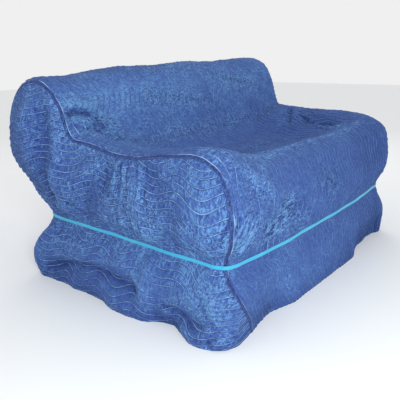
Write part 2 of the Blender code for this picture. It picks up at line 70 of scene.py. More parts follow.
class RunRow(NamedTuple):
    """A named place on the long panel's run: mesh steps to the next row, then the outline's y and z."""

    name: str
    steps: int
    left_y: float
    left_z: float
    mid_y: float
    mid_z: float
    right_y: float
    right_z: float


class Crease(NamedTuple):
    """A soft fold: it rises by its height along the outward direction and fades over its width."""

    name: str
    height: float
    width: float
    path: tuple[Triple, ...]


def crease(name: str, height: float, width: float, *path: Triple) -> Crease:
    """A soft fold along a path."""
    return Crease(name, height, width, path)


def front_crease(name: str, height: float, width: float, *places: Pair) -> Crease:
    """A soft fold on the cover's front, from its places' x and z."""
    return Crease(name, height, width, tuple((x, FRONT_FACE, z) for x, z in places))


class ShadePatch(NamedTuple):
    """A patch of painted light or painted shade, by its amount, and how much smoother the cloth lies there.
    """

    name: str
    amount: float
    smooth: float
    centre: Triple
    reach: Triple


class Side(Enum):
    """A side of the cover: direction of x, the long panel's column there, and how far its seam wanders."""

    LEFT = ("left", -1, 0, 0.03, 0.15)
    RIGHT = ("right", 1, -1, -0.02, 0.05)

    def __init__(self, label: str, sign: int, column: int, rear_slide: float, front_slide: float) -> None:
        """Keeps the member's values under their names."""
        self.label = label
        self.sign = sign
        self.column = column
        self.rear_slide = rear_slide
        self.front_slide = front_slide


FRONT_FACE = -0.03
BAND_LOW = 0.272
BAND_HIGH = 0.290
BAND_MIDDLE = 0.5 * (BAND_LOW + BAND_HIGH)

RUN: tuple[RunRow, ...] = (
    RunRow("rear_hem", 4, 1.125, 0.0, 1.13, 0.0, 1.14, 0.0),
    RunRow("rear_skirt", 2, 1.145, 0.14, 1.12, 0.15, 1.13, 0.14),
    RunRow("rear_band_low", 1, 1.085, BAND_LOW, 1.08, BAND_LOW, 1.085, BAND_LOW),
    RunRow("rear_band_high", 3, 1.085, BAND_HIGH, 1.08, BAND_HIGH, 1.085, BAND_HIGH),
    RunRow("rear_sag", 3, 1.14, 0.39, 1.13, 0.39, 1.14, 0.39),
    RunRow("rear_swell", 4, 1.23, 0.53, 1.17, 0.54, 1.185, 0.54),
    RunRow("rear_bulge", 3, 1.238, 0.69, 1.18, 0.72, 1.195, 0.71),
    RunRow("rear_shoulder", 2, 1.19, 0.83, 1.15, 0.86, 1.165, 0.85),
    RunRow("crest_rear", 2, 1.09, 0.925, 1.07, 0.955, 1.08, 0.96),
    RunRow("crest", 2, 0.97, 0.948, 0.965, 0.987, 0.965, 1.003),
    RunRow("crest_front", 2, 0.865, 0.905, 0.86, 0.95, 0.85, 0.965),
    RunRow("rest_high", 2, 0.808, 0.825, 0.8, 0.86, 0.775, 0.87),
    RunRow("rest_low", 2, 0.788, 0.76, 0.752, 0.745, 0.738, 0.78),
    RunRow("arm_root", 2, 0.766, 0.709, 0.712, 0.665, 0.705, 0.722),
    RunRow("arm_shelf", 2, 0.705, 0.698, 0.64, 0.618, 0.65, 0.714),
    RunRow("arm_rear", 3, 0.59, 0.672, 0.53, 0.588, 0.54, 0.706),
    RunRow("arm_middle", 3, 0.43, 0.665, 0.39, 0.572, 0.38, 0.7),
    RunRow("arm_front", 3, 0.24, 0.694, 0.24, 0.59, 0.22, 0.697),
    RunRow("front_ridge", 2, 0.085, 0.695, 0.115, 0.624, 0.09, 0.674),
    RunRow("front_brow", 3, 0.0, 0.64, 0.025, 0.592, 0.005, 0.625),
    RunRow("front_chest", 4, -0.046, 0.53, -0.028, 0.5, -0.025, 0.53),
    RunRow("front_sag", 3, -0.046, 0.39, -0.032, 0.39, -0.025, 0.39),
    RunRow("front_band_high", 1, 0.004, BAND_HIGH, -0.018, BAND_HIGH, 0.008, BAND_HIGH),
    RunRow("front_band_low", 2, 0.004, BAND_LOW, -0.018, BAND_LOW, 0.008, BAND_LOW),
    RunRow("front_skirt", 4, -0.046, 0.14, -0.02, 0.15, -0.02, 0.14),
    RunRow("front_hem", 0, -0.05, 0.0, 0.005, 0.0, -0.01, 0.0),
)

# Large folds, the same as in the solids
LARGE_FOLDS: tuple[Crease, ...] = (
    crease("crest_dip", -0.014, 0.2, (-0.62, 0.97, 0.98), (-0.2, 0.97, 0.99)),
    crease("end_ridge_outer", 0.012, 0.045, (-0.85, 0.99, 0.88), (-0.9, 0.96, 0.72), (-0.9, 0.95, 0.56)),
    crease("end_valley", -0.026, 0.04, (-0.86, 0.9, 0.79), (-0.89, 0.88, 0.62), (-0.85, 0.93, 0.42)),
    crease("end_ridge_inner", 0.022, 0.045, (-0.84, 0.82, 0.74), (-0.87, 0.82, 0.6), (-0.86, 0.85, 0.48)),
    crease("pleat_light", 0.016, 0.04, (-0.8, 0.42, 0.6), (-0.8, 0.36, 0.36), (-0.83, 0.35, 0.1)),
    crease("pleat_dark_right", -0.014, 0.05, (-0.8, 0.34, 0.6), (-0.83, 0.22, 0.46), (-0.8, 0.24, 0.32)),
    crease("pleat_dark_left", -0.016, 0.045, (-0.8, 0.55, 0.59), (-0.83, 0.69, 0.46), (-0.8, 0.73, 0.34)),
    crease("pleat_streak", 0.016, 0.045, (-0.8, 0.62, 0.61), (-0.84, 0.79, 0.47), (-0.82, 0.86, 0.38)),
    crease("corner_bulge", 0.012, 0.07, (-0.79, 0.06, 0.56), (-0.79, 0.06, 0.4)),
    crease("skirt_crease", -0.026, 0.035, (-0.83, 0.98, 0.08), (-0.83, 0.7, 0.13), (-0.83, 0.44, 0.11)),
    crease("skirt_flap", 0.014, 0.035, (-0.83, 0.82, 0.03), (-0.83, 0.6, 0.05), (-0.83, 0.45, 0.03)),
    crease("skirt_tuck", -0.028, 0.05, (-0.83, 0.28, 0.0), (-0.83, 0.24, 0.0)),
    crease("hem_spread", 0.032, 0.09, (-0.83, 0.52, 0.0), (-0.83, 0.37, 0.0)),
    crease("rear_corner_flare", 0.03, 0.08, (-0.82, 1.05, 0.18), (-0.82, 1.07, 0.1)),
    crease("corner_pool", 0.045, 0.08, (-0.83, 0.08, 0.0), (-0.83, 0.02, 0.06)),
    crease("corner_crease", -0.02, 0.035, (-0.83, 0.2, 0.08), (-0.83, 0.1, 0.08), (-0.8, 0.0, 0.1)),
    crease("front_tension", 0.012, 0.05, (-0.72, 0.03, 0.65), (-0.59, -0.02, 0.57), (-0.48, -0.03, 0.5)),
    front_crease("front_hollow", -0.014, 0.06, (-0.54, 0.39), (-0.38, 0.44), (-0.3, 0.38)),
    crease("front_seat_line", -0.01, 0.06, (-0.1, -0.02, 0.48), (0.3, -0.02, 0.5), (0.6, -0.02, 0.48)),
    crease("front_hem_push", 0.055, 0.12, (-0.33, 0.0, 0.0), (0.26, 0.0, 0.0)),
    crease("front_hem_tuck", -0.02, 0.12, (0.64, 0.0, 0.0), (0.8, 0.0, 0.0)),
    crease("puff", 0.03, 0.05, (-0.78, 0.77, 0.73), (-0.7, 0.75, 0.72)),
    crease("puff_notch", -0.035, 0.035, (-0.67, 0.76, 0.72), (-0.65, 0.71, 0.69)),
    crease("right_arm_dent", -0.02, 0.06, (0.58, 0.4, 0.66), (0.52, 0.24, 0.65)),
    crease("rear_swag", -0.02, 0.09, (-0.55, 1.17, 0.7), (-0.35, 1.16, 0.5), (-0.3, 1.12, 0.36)),
    crease("rear_drape", 0.018, 0.08, (0.15, 1.17, 0.72), (0.25, 1.16, 0.5), (0.22, 1.12, 0.36)),
    crease("rear_hem_wave", 0.02, 0.1, (0.45, 1.13, 0.15), (0.5, 1.13, 0.0)),
    crease("right_pleat", 0.018, 0.05, (0.81, 0.4, 0.62), (0.83, 0.46, 0.44), (0.81, 0.48, 0.34)),
    crease("right_valley", -0.02, 0.055, (0.87, 0.86, 0.74), (0.88, 0.84, 0.56), (0.85, 0.74, 0.42)),
    crease("right_skirt_crease", -0.022, 0.04, (0.83, 0.9, 0.1), (0.83, 0.6, 0.12), (0.83, 0.4, 0.09)),
    crease("right_corner_flare", 0.03, 0.08, (0.83, 1.08, 0.1), (0.83, 1.08, 0.02)),
)

# Narrow creases, which only the cloth's fine surface has
FINE_CREASES: tuple[Crease, ...] = (
    crease("crescent", -0.015, 0.012, (-0.81, 0.81, 0.79), (-0.75, 0.8, 0.8), (-0.67, 0.78, 0.78),
           (-0.63, 0.76, 0.73)),
    crease("crescent_lip", 0.01, 0.016, (-0.8, 0.83, 0.82), (-0.74, 0.82, 0.83), (-0.66, 0.8, 0.81)),
    crease("puff_line_a", -0.005, 0.009, (-0.77, 0.78, 0.76), (-0.72, 0.77, 0.74)),
    crease("puff_line_b", -0.005, 0.009, (-0.73, 0.77, 0.77), (-0.69, 0.76, 0.74)),
    crease("notch_line", -0.009, 0.013, (-0.68, 0.76, 0.73), (-0.65, 0.72, 0.69), (-0.6, 0.7, 0.68)),
    crease("puff_line_c", -0.006, 0.008, (-0.79, 0.79, 0.75), (-0.75, 0.78, 0.725), (-0.72, 0.77, 0.71)),
    crease("puff_line_d", 0.005, 0.008, (-0.76, 0.8, 0.77), (-0.71, 0.78, 0.745), (-0.68, 0.77, 0.72)),
    crease("notch_fan_a", -0.006, 0.008, (-0.66, 0.76, 0.75), (-0.62, 0.75, 0.72), (-0.59, 0.72, 0.69)),
    crease("notch_fan_b", 0.005, 0.008, (-0.7, 0.77, 0.78), (-0.65, 0.77, 0.76), (-0.6, 0.76, 0.73)),
    crease("pleat_e", 0.0045, 0.008, (-0.8, 0.53, 0.61), (-0.82, 0.52, 0.52), (-0.82, 0.53, 0.42)),
    crease("pleat_f", -0.0045, 0.008, (-0.8, 0.49, 0.61), (-0.82, 0.49, 0.5), (-0.82, 0.51, 0.38)),
    crease("pleat_g", 0.0045, 0.008, (-0.8, 0.435, 0.61), (-0.82, 0.42, 0.5), (-0.82, 0.4, 0.36)),
    crease("pleat_h", -0.0045, 0.008, (-0.8, 0.36, 0.62), (-0.82, 0.35, 0.52), (-0.82, 0.33, 0.4)),
    crease("pleat_i", 0.0045, 0.008, (-0.8, 0.385, 0.62), (-0.82, 0.37, 0.5), (-0.82, 0.35, 0.36)),
    crease("pleat_j", -0.0045, 0.008, (-0.8, 0.57, 0.62), (-0.82, 0.59, 0.52), (-0.82, 0.63, 0.42)),
    crease("pleat_k", 0.0045, 0.008, (-0.8, 0.6, 0.63), (-0.82, 0.63, 0.54), (-0.82, 0.67, 0.45)),
    crease("pleat_a", 0.006, 0.014, (-0.8, 0.47, 0.61), (-0.81, 0.46, 0.46), (-0.82, 0.49, 0.33)),
    crease("pleat_b", -0.006, 0.013, (-0.8, 0.45, 0.61), (-0.81, 0.42, 0.45), (-0.82, 0.42, 0.32)),
    crease("pleat_c", 0.005, 0.012, (-0.8, 0.51, 0.61), (-0.82, 0.55, 0.48), (-0.82, 0.58, 0.36)),
    crease("pleat_d", -0.005, 0.012, (-0.8, 0.4, 0.62), (-0.81, 0.38, 0.48), (-0.82, 0.37, 0.35)),
    crease("streak_line", 0.006, 0.012, (-0.83, 0.8, 0.48), (-0.83, 0.74, 0.42), (-0.82, 0.7, 0.34)),
    crease("streak_shade", -0.006, 0.012, (-0.83, 0.83, 0.45), (-0.83, 0.77, 0.39), (-0.82, 0.73, 0.33)),
    crease("end_wrinkle_a", -0.006, 0.014, (-0.86, 1.05, 0.66), (-0.88, 0.96, 0.6), (-0.87, 0.88, 0.55)),
    crease("end_wrinkle_b", 0.006, 0.014, (-0.86, 1.07, 0.58), (-0.87, 0.98, 0.52), (-0.86, 0.9, 0.48)),
    crease("end_wrinkle_c", -0.006, 0.012, (-0.85, 1.05, 0.47), (-0.86, 0.96, 0.42), (-0.84, 0.88, 0.37)),
    crease("skirt_line_a", -0.007, 0.012, (-0.83, 1.0, 0.06), (-0.83, 0.82, 0.12), (-0.83, 0.6, 0.13),
           (-0.83, 0.42, 0.1)),
    crease("skirt_line_b", -0.006, 0.012, (-0.83, 0.95, 0.17), (-0.83, 0.84, 0.2), (-0.83, 0.74, 0.19)),
    crease("skirt_line_c", 0.005, 0.014, (-0.83, 0.6, 0.2), (-0.83, 0.46, 0.19), (-0.83, 0.36, 0.14)),
    crease("corner_line_a", -0.007, 0.012, (-0.83, 0.26, 0.09), (-0.83, 0.13, 0.06), (-0.83, 0.05, 0.07)),
    crease("corner_line_b", -0.007, 0.012, (-0.82, 0.08, 0.15), (-0.82, 0.0, 0.08), (-0.82, 0.02, 0.02)),
    crease("corner_line_c", 0.006, 0.014, (-0.82, 0.16, 0.03), (-0.82, 0.09, 0.02)),
    crease("tension_a", 0.006, 0.014, (-0.75, 0.06, 0.67), (-0.66, -0.01, 0.61), (-0.57, -0.03, 0.56)),
    crease("tension_b", -0.005, 0.013, (-0.74, 0.02, 0.63), (-0.66, -0.02, 0.57), (-0.58, -0.03, 0.52)),
    crease("tension_c", 0.005, 0.012, (-0.73, 0.08, 0.69), (-0.62, 0.04, 0.65), (-0.52, 0.0, 0.61)),
    front_crease("dimple_a", -0.006, 0.012, (-0.57, 0.4), (-0.5, 0.41), (-0.44, 0.4)),
    crease("dimple_b", -0.006, 0.012, (-0.42, -0.04, 0.46), (-0.37, -0.04, 0.43), (-0.31, -0.03, 0.39)),
    front_crease("dimple_c", -0.005, 0.012, (-0.05, 0.49), (0.02, 0.46), (0.06, 0.42)),
    front_crease("corner_fan_a", 0.005, 0.008, (-0.78, 0.34), (-0.75, 0.39), (-0.72, 0.42)),
    front_crease("corner_fan_b", -0.0045, 0.008, (-0.77, 0.34), (-0.735, 0.375), (-0.7, 0.405)),
    front_crease("corner_fan_c", 0.005, 0.008, (-0.76, 0.335), (-0.72, 0.36), (-0.68, 0.385)),
    front_crease("corner_fan_d", -0.0045, 0.008, (-0.75, 0.33), (-0.71, 0.35), (-0.66, 0.38)),
    front_crease("corner_fan_e", 0.005, 0.008, (-0.74, 0.33), (-0.7, 0.345), (-0.64, 0.39)),
    front_crease("front_fan_a", 0.005, 0.008, (-0.6, 0.4), (-0.56, 0.4), (-0.52, 0.39)),
    front_crease("front_fan_b", -0.005, 0.008, (-0.58, 0.385), (-0.54, 0.385), (-0.49, 0.38)),
    front_crease("front_fan_c", 0.005, 0.008, (-0.56, 0.37), (-0.51, 0.372), (-0.47, 0.37)),
    front_crease("front_fan_d", -0.005, 0.008, (-0.54, 0.355), (-0.5, 0.36), (-0.46, 0.355)),
    front_crease("front_fan_e", 0.004, 0.008, (-0.53, 0.34), (-0.49, 0.345), (-0.45, 0.34)),
    front_crease("middle_fan_a", 0.005, 0.008, (-0.39, 0.375), (-0.33, 0.37), (-0.27, 0.36)),
    front_crease("middle_fan_b", -0.005, 0.008, (-0.37, 0.36), (-0.32, 0.355), (-0.26, 0.35)),
    front_crease("middle_fan_c", 0.004, 0.008, (-0.35, 0.345), (-0.3, 0.345), (-0.25, 0.335)),
    front_crease("front_drop_a", 0.004, 0.008, (-0.68, 0.47), (-0.66, 0.45), (-0.64, 0.43)),
    front_crease("front_drop_b", -0.004, 0.008, (-0.7, 0.46), (-0.68, 0.44), (-0.66, 0.42)),
    front_crease("front_drop_c", 0.005, 0.009, (-0.66, 0.59), (-0.635, 0.575), (-0.61, 0.55)),
    front_crease("front_drop_d", -0.004, 0.009, (-0.63, 0.6), (-0.6, 0.58), (-0.58, 0.56)),
    crease("seat_foot", -0.003, 0.024, (-0.62, 0.66, 0.67), (-0.3, 0.69, 0.64), (0.3, 0.7, 0.66),
           (0.64, 0.68, 0.69)),
    crease("seat_sag_line", -0.005, 0.02, (-0.3, 0.36, 0.57), (0.05, 0.4, 0.57), (0.35, 0.34, 0.59)),
    crease("ridge_lift", 0.003, 0.02, (-0.55, 0.07, 0.64), (-0.2, 0.11, 0.63), (0.25, 0.11, 0.63),
           (0.6, 0.08, 0.66)),
    crease("arm_inner_a", -0.011, 0.014, (0.62, 0.46, 0.68), (0.57, 0.36, 0.65), (0.55, 0.25, 0.64)),
    crease("arm_inner_b", 0.009, 0.015, (0.6, 0.4, 0.67), (0.54, 0.3, 0.64), (0.5, 0.18, 0.64)),
    crease("arm_inner_c", -0.011, 0.014, (0.66, 0.55, 0.7), (0.58, 0.52, 0.66), (0.52, 0.48, 0.62)),
    crease("left_arm_inner", -0.006, 0.014, (-0.62, 0.6, 0.66), (-0.55, 0.45, 0.62), (-0.52, 0.3, 0.62)),
    crease("rest_line_a", -0.004, 0.016, (-0.3, 0.8, 0.85), (-0.1, 0.78, 0.8), (0.16, 0.77, 0.78)),
    crease("rest_line_b", -0.004, 0.016, (0.2, 0.84, 0.94), (0.36, 0.81, 0.88), (0.56, 0.79, 0.85)),
    crease("crest_line", 0.004, 0.018, (-0.6, 0.93, 0.95), (-0.2, 0.9, 0.96), (0.2, 0.91, 0.97)),
    crease("rear_line_a", -0.006, 0.016, (-0.6, 1.18, 0.74), (-0.5, 1.18, 0.58), (-0.46, 1.13, 0.4)),
    crease("rear_line_b", 0.006, 0.016, (0.44, 1.17, 0.66), (0.48, 1.16, 0.52), (0.45, 1.13, 0.38)),
    crease("rear_line_c", -0.006, 0.014, (0.7, 1.17, 0.7), (0.6, 1.17, 0.56), (0.58, 1.13, 0.4)),
    crease("right_end_a", -0.006, 0.014, (0.87, 1.06, 0.72), (0.88, 0.97, 0.6), (0.86, 0.9, 0.46)),
    crease("right_end_b", 0.006, 0.014, (0.87, 0.98, 0.8), (0.89, 0.9, 0.68), (0.87, 0.84, 0.54)),
    crease("right_side_a", -0.006, 0.013, (0.82, 0.3, 0.62), (0.83, 0.26, 0.48), (0.81, 0.26, 0.34)),
    crease("right_side_b", 0.005, 0.013, (0.82, 0.6, 0.6), (0.83, 0.64, 0.46), (0.82, 0.66, 0.34)),
    crease("right_hem_a", -0.006, 0.013, (0.83, 0.24, 0.14), (0.83, 0.14, 0.08), (0.83, 0.06, 0.05)),
)

# Patches of painted light and painted shade, and places where the cloth lies smoother
SHADE_PATCHES: tuple[ShadePatch, ...] = (
    ShadePatch("backrest", 0.5, 0.0, (0.0, 0.8, 0.88), (1.0, 0.12, 0.15)),
    ShadePatch("backrest_left", 0.45, 0.0, (-0.5, 0.82, 0.86), (0.38, 0.12, 0.16)),
    ShadePatch("seat_edge", -0.4, 0.0, (-0.15, 0.02, 0.65), (0.55, 0.07, 0.04)),
    ShadePatch("side_top", 0.55, 0.0, (-0.81, 0.18, 0.61), (0.06, 0.15, 0.07)),
    ShadePatch("below_band", 0.75, 0.0, (-0.83, 0.42, 0.3), (0.08, 0.22, 0.09)),
    ShadePatch("skirt_front", 0.7, 0.0, (-0.83, 0.06, 0.2), (0.08, 0.1, 0.1)),
    ShadePatch("skirt_rear", -1.5, 0.0, (-0.87, 1.07, 0.19), (0.08, 0.09, 0.15)),
    ShadePatch("front_hem", -0.9, 0.0, (0.3, -0.03, 0.08), (0.42, 0.12, 0.09)),
    ShadePatch("crest", -0.45, 0.0, (0.0, 0.87, 0.985), (0.6, 0.08, 0.03)),
    ShadePatch("arm_right", 0.4, 0.0, (0.62, 0.62, 0.62), (0.1, 0.14, 0.1)),
    ShadePatch("end_low", -0.6, 0.0, (-0.87, 0.83, 0.52), (0.08, 0.1, 0.12)),
    ShadePatch("front_low", -0.4, 0.0, (-0.46, -0.03, 0.36), (0.16, 0.06, 0.06)),
    ShadePatch("seat", -0.75, 0.45, (0.2, 0.42, 0.6), (0.75, 0.26, 0.09)),
    ShadePatch("right_arm", -0.7, 0.0, (0.7, 0.4, 0.7), (0.22, 0.35, 0.12)),
    ShadePatch("front_right", -0.75, 0.3, (0.66, -0.03, 0.45), (0.32, 0.1, 0.4)),
    ShadePatch("left_end", -0.8, 0.0, (-0.86, 1.04, 0.6), (0.12, 0.16, 0.3)),
    ShadePatch("skirt", -0.05, 0.55, (-0.84, 0.6, 0.1), (0.12, 0.5, 0.12)),
    ShadePatch("front", -0.25, 0.0, (-0.2, -0.03, 0.45), (0.6, 0.1, 0.25)),
    ShadePatch("skirt_middle", 0.0, 0.35, (-0.83, 0.42, 0.22), (0.1, 0.22, 0.1)),
    ShadePatch("pleats", -0.25, 0.0, (-0.82, 0.55, 0.5), (0.1, 0.3, 0.16)),
    ShadePatch("front_corner", 0.3, 0.0, (-0.81, 0.06, 0.5), (0.05, 0.07, 0.18)),
)

# Painted shade: the cloth is darkened towards the hem, fading out at this height
HEM_SHADE = 1.3
HEM_SHADE_HEIGHT = 0.13

# The rows of the run between which its seam follows a side panel's top
SIDE_TOP_FROM = "rear_bulge"
SIDE_TOP_TO = "front_brow"


def smooth_step(value: Points | float, low: float, high: float) -> Points:
    """The share at each value of a rise from 0 at low to 1 at high, flat at both ends."""
    share = np.clip((value - low) / (high - low), 0.0, 1.0)
    return share * share * (3 - 2 * share)


def bell(value: Points, centre: float, width: float) -> Points:
    """A soft bump of height 1 round the centre."""
    return np.exp(-(((value - centre) / width) ** 2))


def unit(vectors: Points) -> Points:
    """The vectors scaled to length 1."""
    return vectors / np.maximum(np.linalg.norm(vectors, axis=-1, keepdims=True), 1e-12)


def spline(knots: Points, values: Points, where: Points) -> Points:
    """Smooth curve through rows of values.

    Args:
        knots: Rising places of the rows.
        values: One row of numbers at each knot.
        where: Places to read.

    Returns:
        A row of numbers for each place.
    """
    spans = np.diff(knots)[:, None]
    slopes = np.diff(values, axis=0) / spans
    inner = (slopes[:-1] * spans[1:] + slopes[1:] * spans[:-1]) / (spans[:-1] + spans[1:])
    tangents = np.vstack([slopes[:1], inner, slopes[-1:]])
    index = np.clip(np.searchsorted(knots, where, side="right") - 1, 0, len(spans) - 1)
    share = (where - knots[index])[:, None] / spans[index]
    ease = share * share * (3 - 2 * share)
    leave = share * (1 - share) ** 2 * spans[index]
    arrive = share * share * (share - 1) * spans[index]
    chord = (1 - ease) * values[index] + ease * values[index + 1]
    return chord + leave * tangents[index] + arrive * tangents[index + 1]


def distance_to(points: Points, line: Points) -> Points:
    """Each point's distance from a line of points."""
    nearest = np.full(points.shape[:-1], np.inf)
    for start, end in zip(line[:-1], line[1:]):
        leg = end - start
        share = np.clip(((points - start) @ leg) / max(leg @ leg, 1e-12), 0.0, 1.0)
        gap = points - start - share[..., None] * leg
        np.minimum(nearest, np.linalg.norm(gap, axis=-1), out=nearest)
    return nearest


def run_along(line: Points) -> Points:
    """The length run along a line of points, at each of them."""
    return np.concatenate([[0.0], np.cumsum(np.linalg.norm(np.diff(line, axis=0), axis=1))])


def read_along(line: Points, reach: Points, where: Points) -> Points:
    """The places at given lengths along a line of points, whose own lengths are reach."""
    return np.column_stack([np.interp(where, reach, line[:, axis]) for axis in range(3)])


def at_rows(grid: Points, rows: Points, last: int) -> Points:
    """What a grid holds at a fractional row in each column, where last is the highest row to start from."""
    low = np.clip(rows.astype(int), 0, last)
    share = (rows - low).reshape(-1, *[1] * (grid.ndim - 2))
    places = np.arange(grid.shape[1])
    return grid[low, places] * (1 - share) + grid[low + 1, places] * share


def grid_normals(points: Points, flip: bool) -> Points:
    """Outward unit directions over a grid of points, turned round where its own sense points inwards."""
    facing = unit(np.cross(np.gradient(points, axis=1), np.gradient(points, axis=0)))
    return -facing if flip else facing


def run_index(name: str) -> int:
    """The coarse mesh row at which a named row of the run lies."""
    names = [row.name for row in RUN]
    return sum(row.steps for row in RUN[: names.index(name)])


@dataclass(frozen=True)
class CoverForm:
    """The base form of the cover: its outer surface without folds or quilting, in the design frame."""

    half_width: float = 0.800
    cloth_thick: float = 0.004
    seam_radius: float = 0.075
    seam_turn: float = math.pi / 4
    rest_widening: Pair = (0.045, 0.078)
    rest_from: float = 0.62
    rest_to: float = 0.88
    rest_foot: float = 0.42
    rest_full: float = 0.62
    waist_depth: float = 0.045
    waist_reach: float = 0.075
    skirt_flare: float = 0.025
    skirt_reach: float = 0.20
    side_swell: float = 0.030
    side_swell_from: float = 0.6
    side_swell_reach: float = 0.22
    rest_swell: float = 0.045
    rest_middle: float = 0.70
    rest_height: float = 0.22
    rise_from: float = 0.42
    rise_to: float = 0.93
    slide_reach: float = 0.45
    tilt_low: float = -0.010
    tilt_rear: float = 0.020
    tilt_right: float = 0.022
    tilt_top: float = 0.550
    tilt_fade: float = 0.260
    along: int = 6
    across: int = 208

    @property
    def crest(self) -> RunRow:
        """The run's row on top of the backrest."""
        return next(row for row in RUN if row.name == "crest")

    @property
    def hold_point(self) -> Points:
        """The loaded model's origin, in the design frame."""
        return np.array([0.0, self.crest.mid_y, self.crest.mid_z - self.cloth_thick])

    @property
    def seam_inset(self) -> float:
        """How far the seam lies inside the rounded edge's side."""
        return self.seam_radius * (1 - math.cos(self.seam_turn))

    def row(self, name: str) -> int:
        """The fine mesh row at which a named row of the run lies."""
        return run_index(name) * self.along

    def width_at(self, y: Points, z: Points, sign: int) -> Points:
        """Half the cover's width at a place on its side."""
        rest = self.rest_widening[sign > 0] * smooth_step(y, self.rest_from, self.rest_to)
        rest = rest * smooth_step(z, self.rest_foot, self.rest_full)
        waist = self.waist_depth * bell(z, BAND_MIDDLE, self.waist_reach)
        skirt = self.skirt_flare * smooth_step(BAND_MIDDLE - z, 0.0, self.skirt_reach)
        return self.half_width + rest - waist + skirt

    def outline(self) -> Points:
        """The run's fine mesh rows: y and z at the left, the middle and the right, as rows x 3 x 2."""
        table = np.array([row[2:] for row in RUN]).reshape(len(RUN), 3, 2)
        lengths = np.linalg.norm(np.diff(table, axis=0), axis=2).mean(axis=1)
        knots = np.concatenate([[0.0], np.cumsum(lengths)])
        places = [np.array([0.0])]
        for index, row in enumerate(RUN[:-1]):
            steps = row.steps * self.along
            places.append(knots[index] + (knots[index + 1] - knots[index]) * np.arange(1, steps + 1) / steps)
        where = np.concatenate(places)
        return spline(knots, table.reshape(len(RUN), 6), where).reshape(-1, 3, 2)

    def long_base(self) -> Points:
        """The long panel's base surface, as rows along the run x columns from left to right x 3."""
        outline = self.outline()
        middle = outline[:, 1]
        along = np.gradient(outline, axis=0)
        normals = unit(np.stack([along[..., 1], -along[..., 0]], axis=-1))
        columns = []
        for place in np.linspace(-1.0, 1.0, self.across + 1):
            side = 0 if place < 0 else 2
            edge = self.width_at(outline[:, side, 0], outline[:, side, 1], side - 1)
            flat = edge - self.seam_radius
            length = abs(place) * (flat + self.seam_radius * self.seam_turn)
            turn = np.maximum(length - flat, 0.0) / self.seam_radius
            x = np.minimum(length, flat) + self.seam_radius * np.sin(turn)
            rise = smooth_step(x / edge, self.rise_from, self.rise_to)[:, None]
            level = middle + (outline[:, side] - middle) * rise
            facing = unit(normals[:, 1] * (1 - rise) + normals[:, side] * rise)
            level = level - facing * (self.seam_radius * (1 - np.cos(turn)))[:, None]
            columns.append(np.column_stack([np.sign(place) * x, level]))
        points = np.stack(columns, axis=1)
        points[[0, -1], :, 2] = 0.0
        return points

    @staticmethod
    def fill(top: Points, bottom: Points, rear: Points, front: Points) -> Points:
        """A grid that fills four edges, with rows from top to bottom and columns from rear to front."""
        a = np.linspace(0.0, 1.0, len(top))[None, :, None]
        b = np.linspace(0.0, 1.0, len(rear))[:, None, None]
        lengthways = (1 - b) * top[None] + b * bottom[None]
        crossways = (1 - a) * rear[:, None] + a * front[:, None]
        corners = (1 - a) * ((1 - b) * top[0] + b * bottom[0]) + a * ((1 - b) * top[-1] + b * bottom[-1])
        return lengthways + crossways - corners

    def side_base(self, seam: Points, sign: int) -> Points:
        """A side panel's base surface inside its seam.

        Args:
            seam: The long panel's edge there, from the rear hem to the front hem.
            sign: The side's direction of x.

        Returns:
            Rows from the top down x columns from rear to front x 3.
        """
        top_from, top_to = self.row(SIDE_TOP_FROM), self.row(SIDE_TOP_TO)
        rear = seam[: top_from + 1][::-1]
        top = seam[top_from : top_to + 1]
        front = seam[top_to:]
        high = len(rear) - 1 - self.row("rear_band_high")
        low = len(rear) - 1 - self.row("rear_band_low")
        share = np.linspace(0.0, 1.0, len(top))[:, None]
        cuts = (0, high, low, len(rear) - 1)
        lines = [top] + [rear[row] + share * (front[row] - rear[row]) for row in cuts[1:]]
        parts = []
        for order, (first, last) in enumerate(zip(cuts, cuts[1:])):
            edges = (lines[order], lines[order + 1], rear[first : last + 1], front[first : last + 1])
            parts.append(self.fill(*(edge[:, 1:] for edge in edges)))
        flat = np.concatenate([parts[0], parts[1][1:-1], parts[2]])
        reach = distance_to(flat, seam[:: self.along, 1:]) + self.seam_inset
        turn = np.arccos(1 - np.minimum(reach, self.seam_radius) / self.seam_radius)
        y, z = flat[..., 0], flat[..., 1]
        rest = smooth_step(y, self.rest_from, self.rest_to) * bell(z, self.rest_middle, self.rest_height)
        swell = self.side_swell + self.rest_swell * rest
        swell = swell * smooth_step(reach, self.side_swell_from * self.seam_radius, self.side_swell_reach)
        swell = swell * (1 - bell(z, BAND_MIDDLE, self.waist_reach)) * smooth_step(z, 0.0, BAND_MIDDLE)
        x = self.width_at(y, z, sign) - self.seam_radius * (1 - np.sin(turn)) + swell
        points = np.concatenate([sign * x[..., None], flat], axis=-1)
        points[0] = top
        points[:, 0] = rear
        points[:, -1] = front
        return points

    def slide_row(self, side_row: Points, long_row: Points, amount: float) -> None:
        """Moves the seam between two rows, which both start at it, along the surface to the long panel."""
        route = np.concatenate([side_row[::-1], long_row[1:]])
        reach = run_along(route)
        seam = reach[len(side_row) - 1]
        moved = reach + amount * np.maximum(1 - np.abs(reach - seam) / self.slide_reach, 0.0)
        places = read_along(route, reach, moved)
        side_row[:] = places[: len(side_row)][::-1]
        long_row[:] = places[len(side_row) - 1 :]

    def slide_seam(self, long_points: Points, points: Points, side: Side) -> None:
        """Lets the seam wander round the cover's corners below the band."""
        inward = slice(None, None, -side.sign)
        top_from, top_to = self.row(SIDE_TOP_FROM), self.row(SIDE_TOP_TO)
        for row in range(top_from - self.row("rear_band_low") + 1, len(points)):
            share = smooth_step(BAND_LOW - points[row, 0, 2], 0.0, BAND_LOW)
            self.slide_row(points[row], long_points[top_from - row, inward], side.rear_slide * share)
            self.slide_row(points[row, ::-1], long_points[top_to + row, inward], side.front_slide * share)

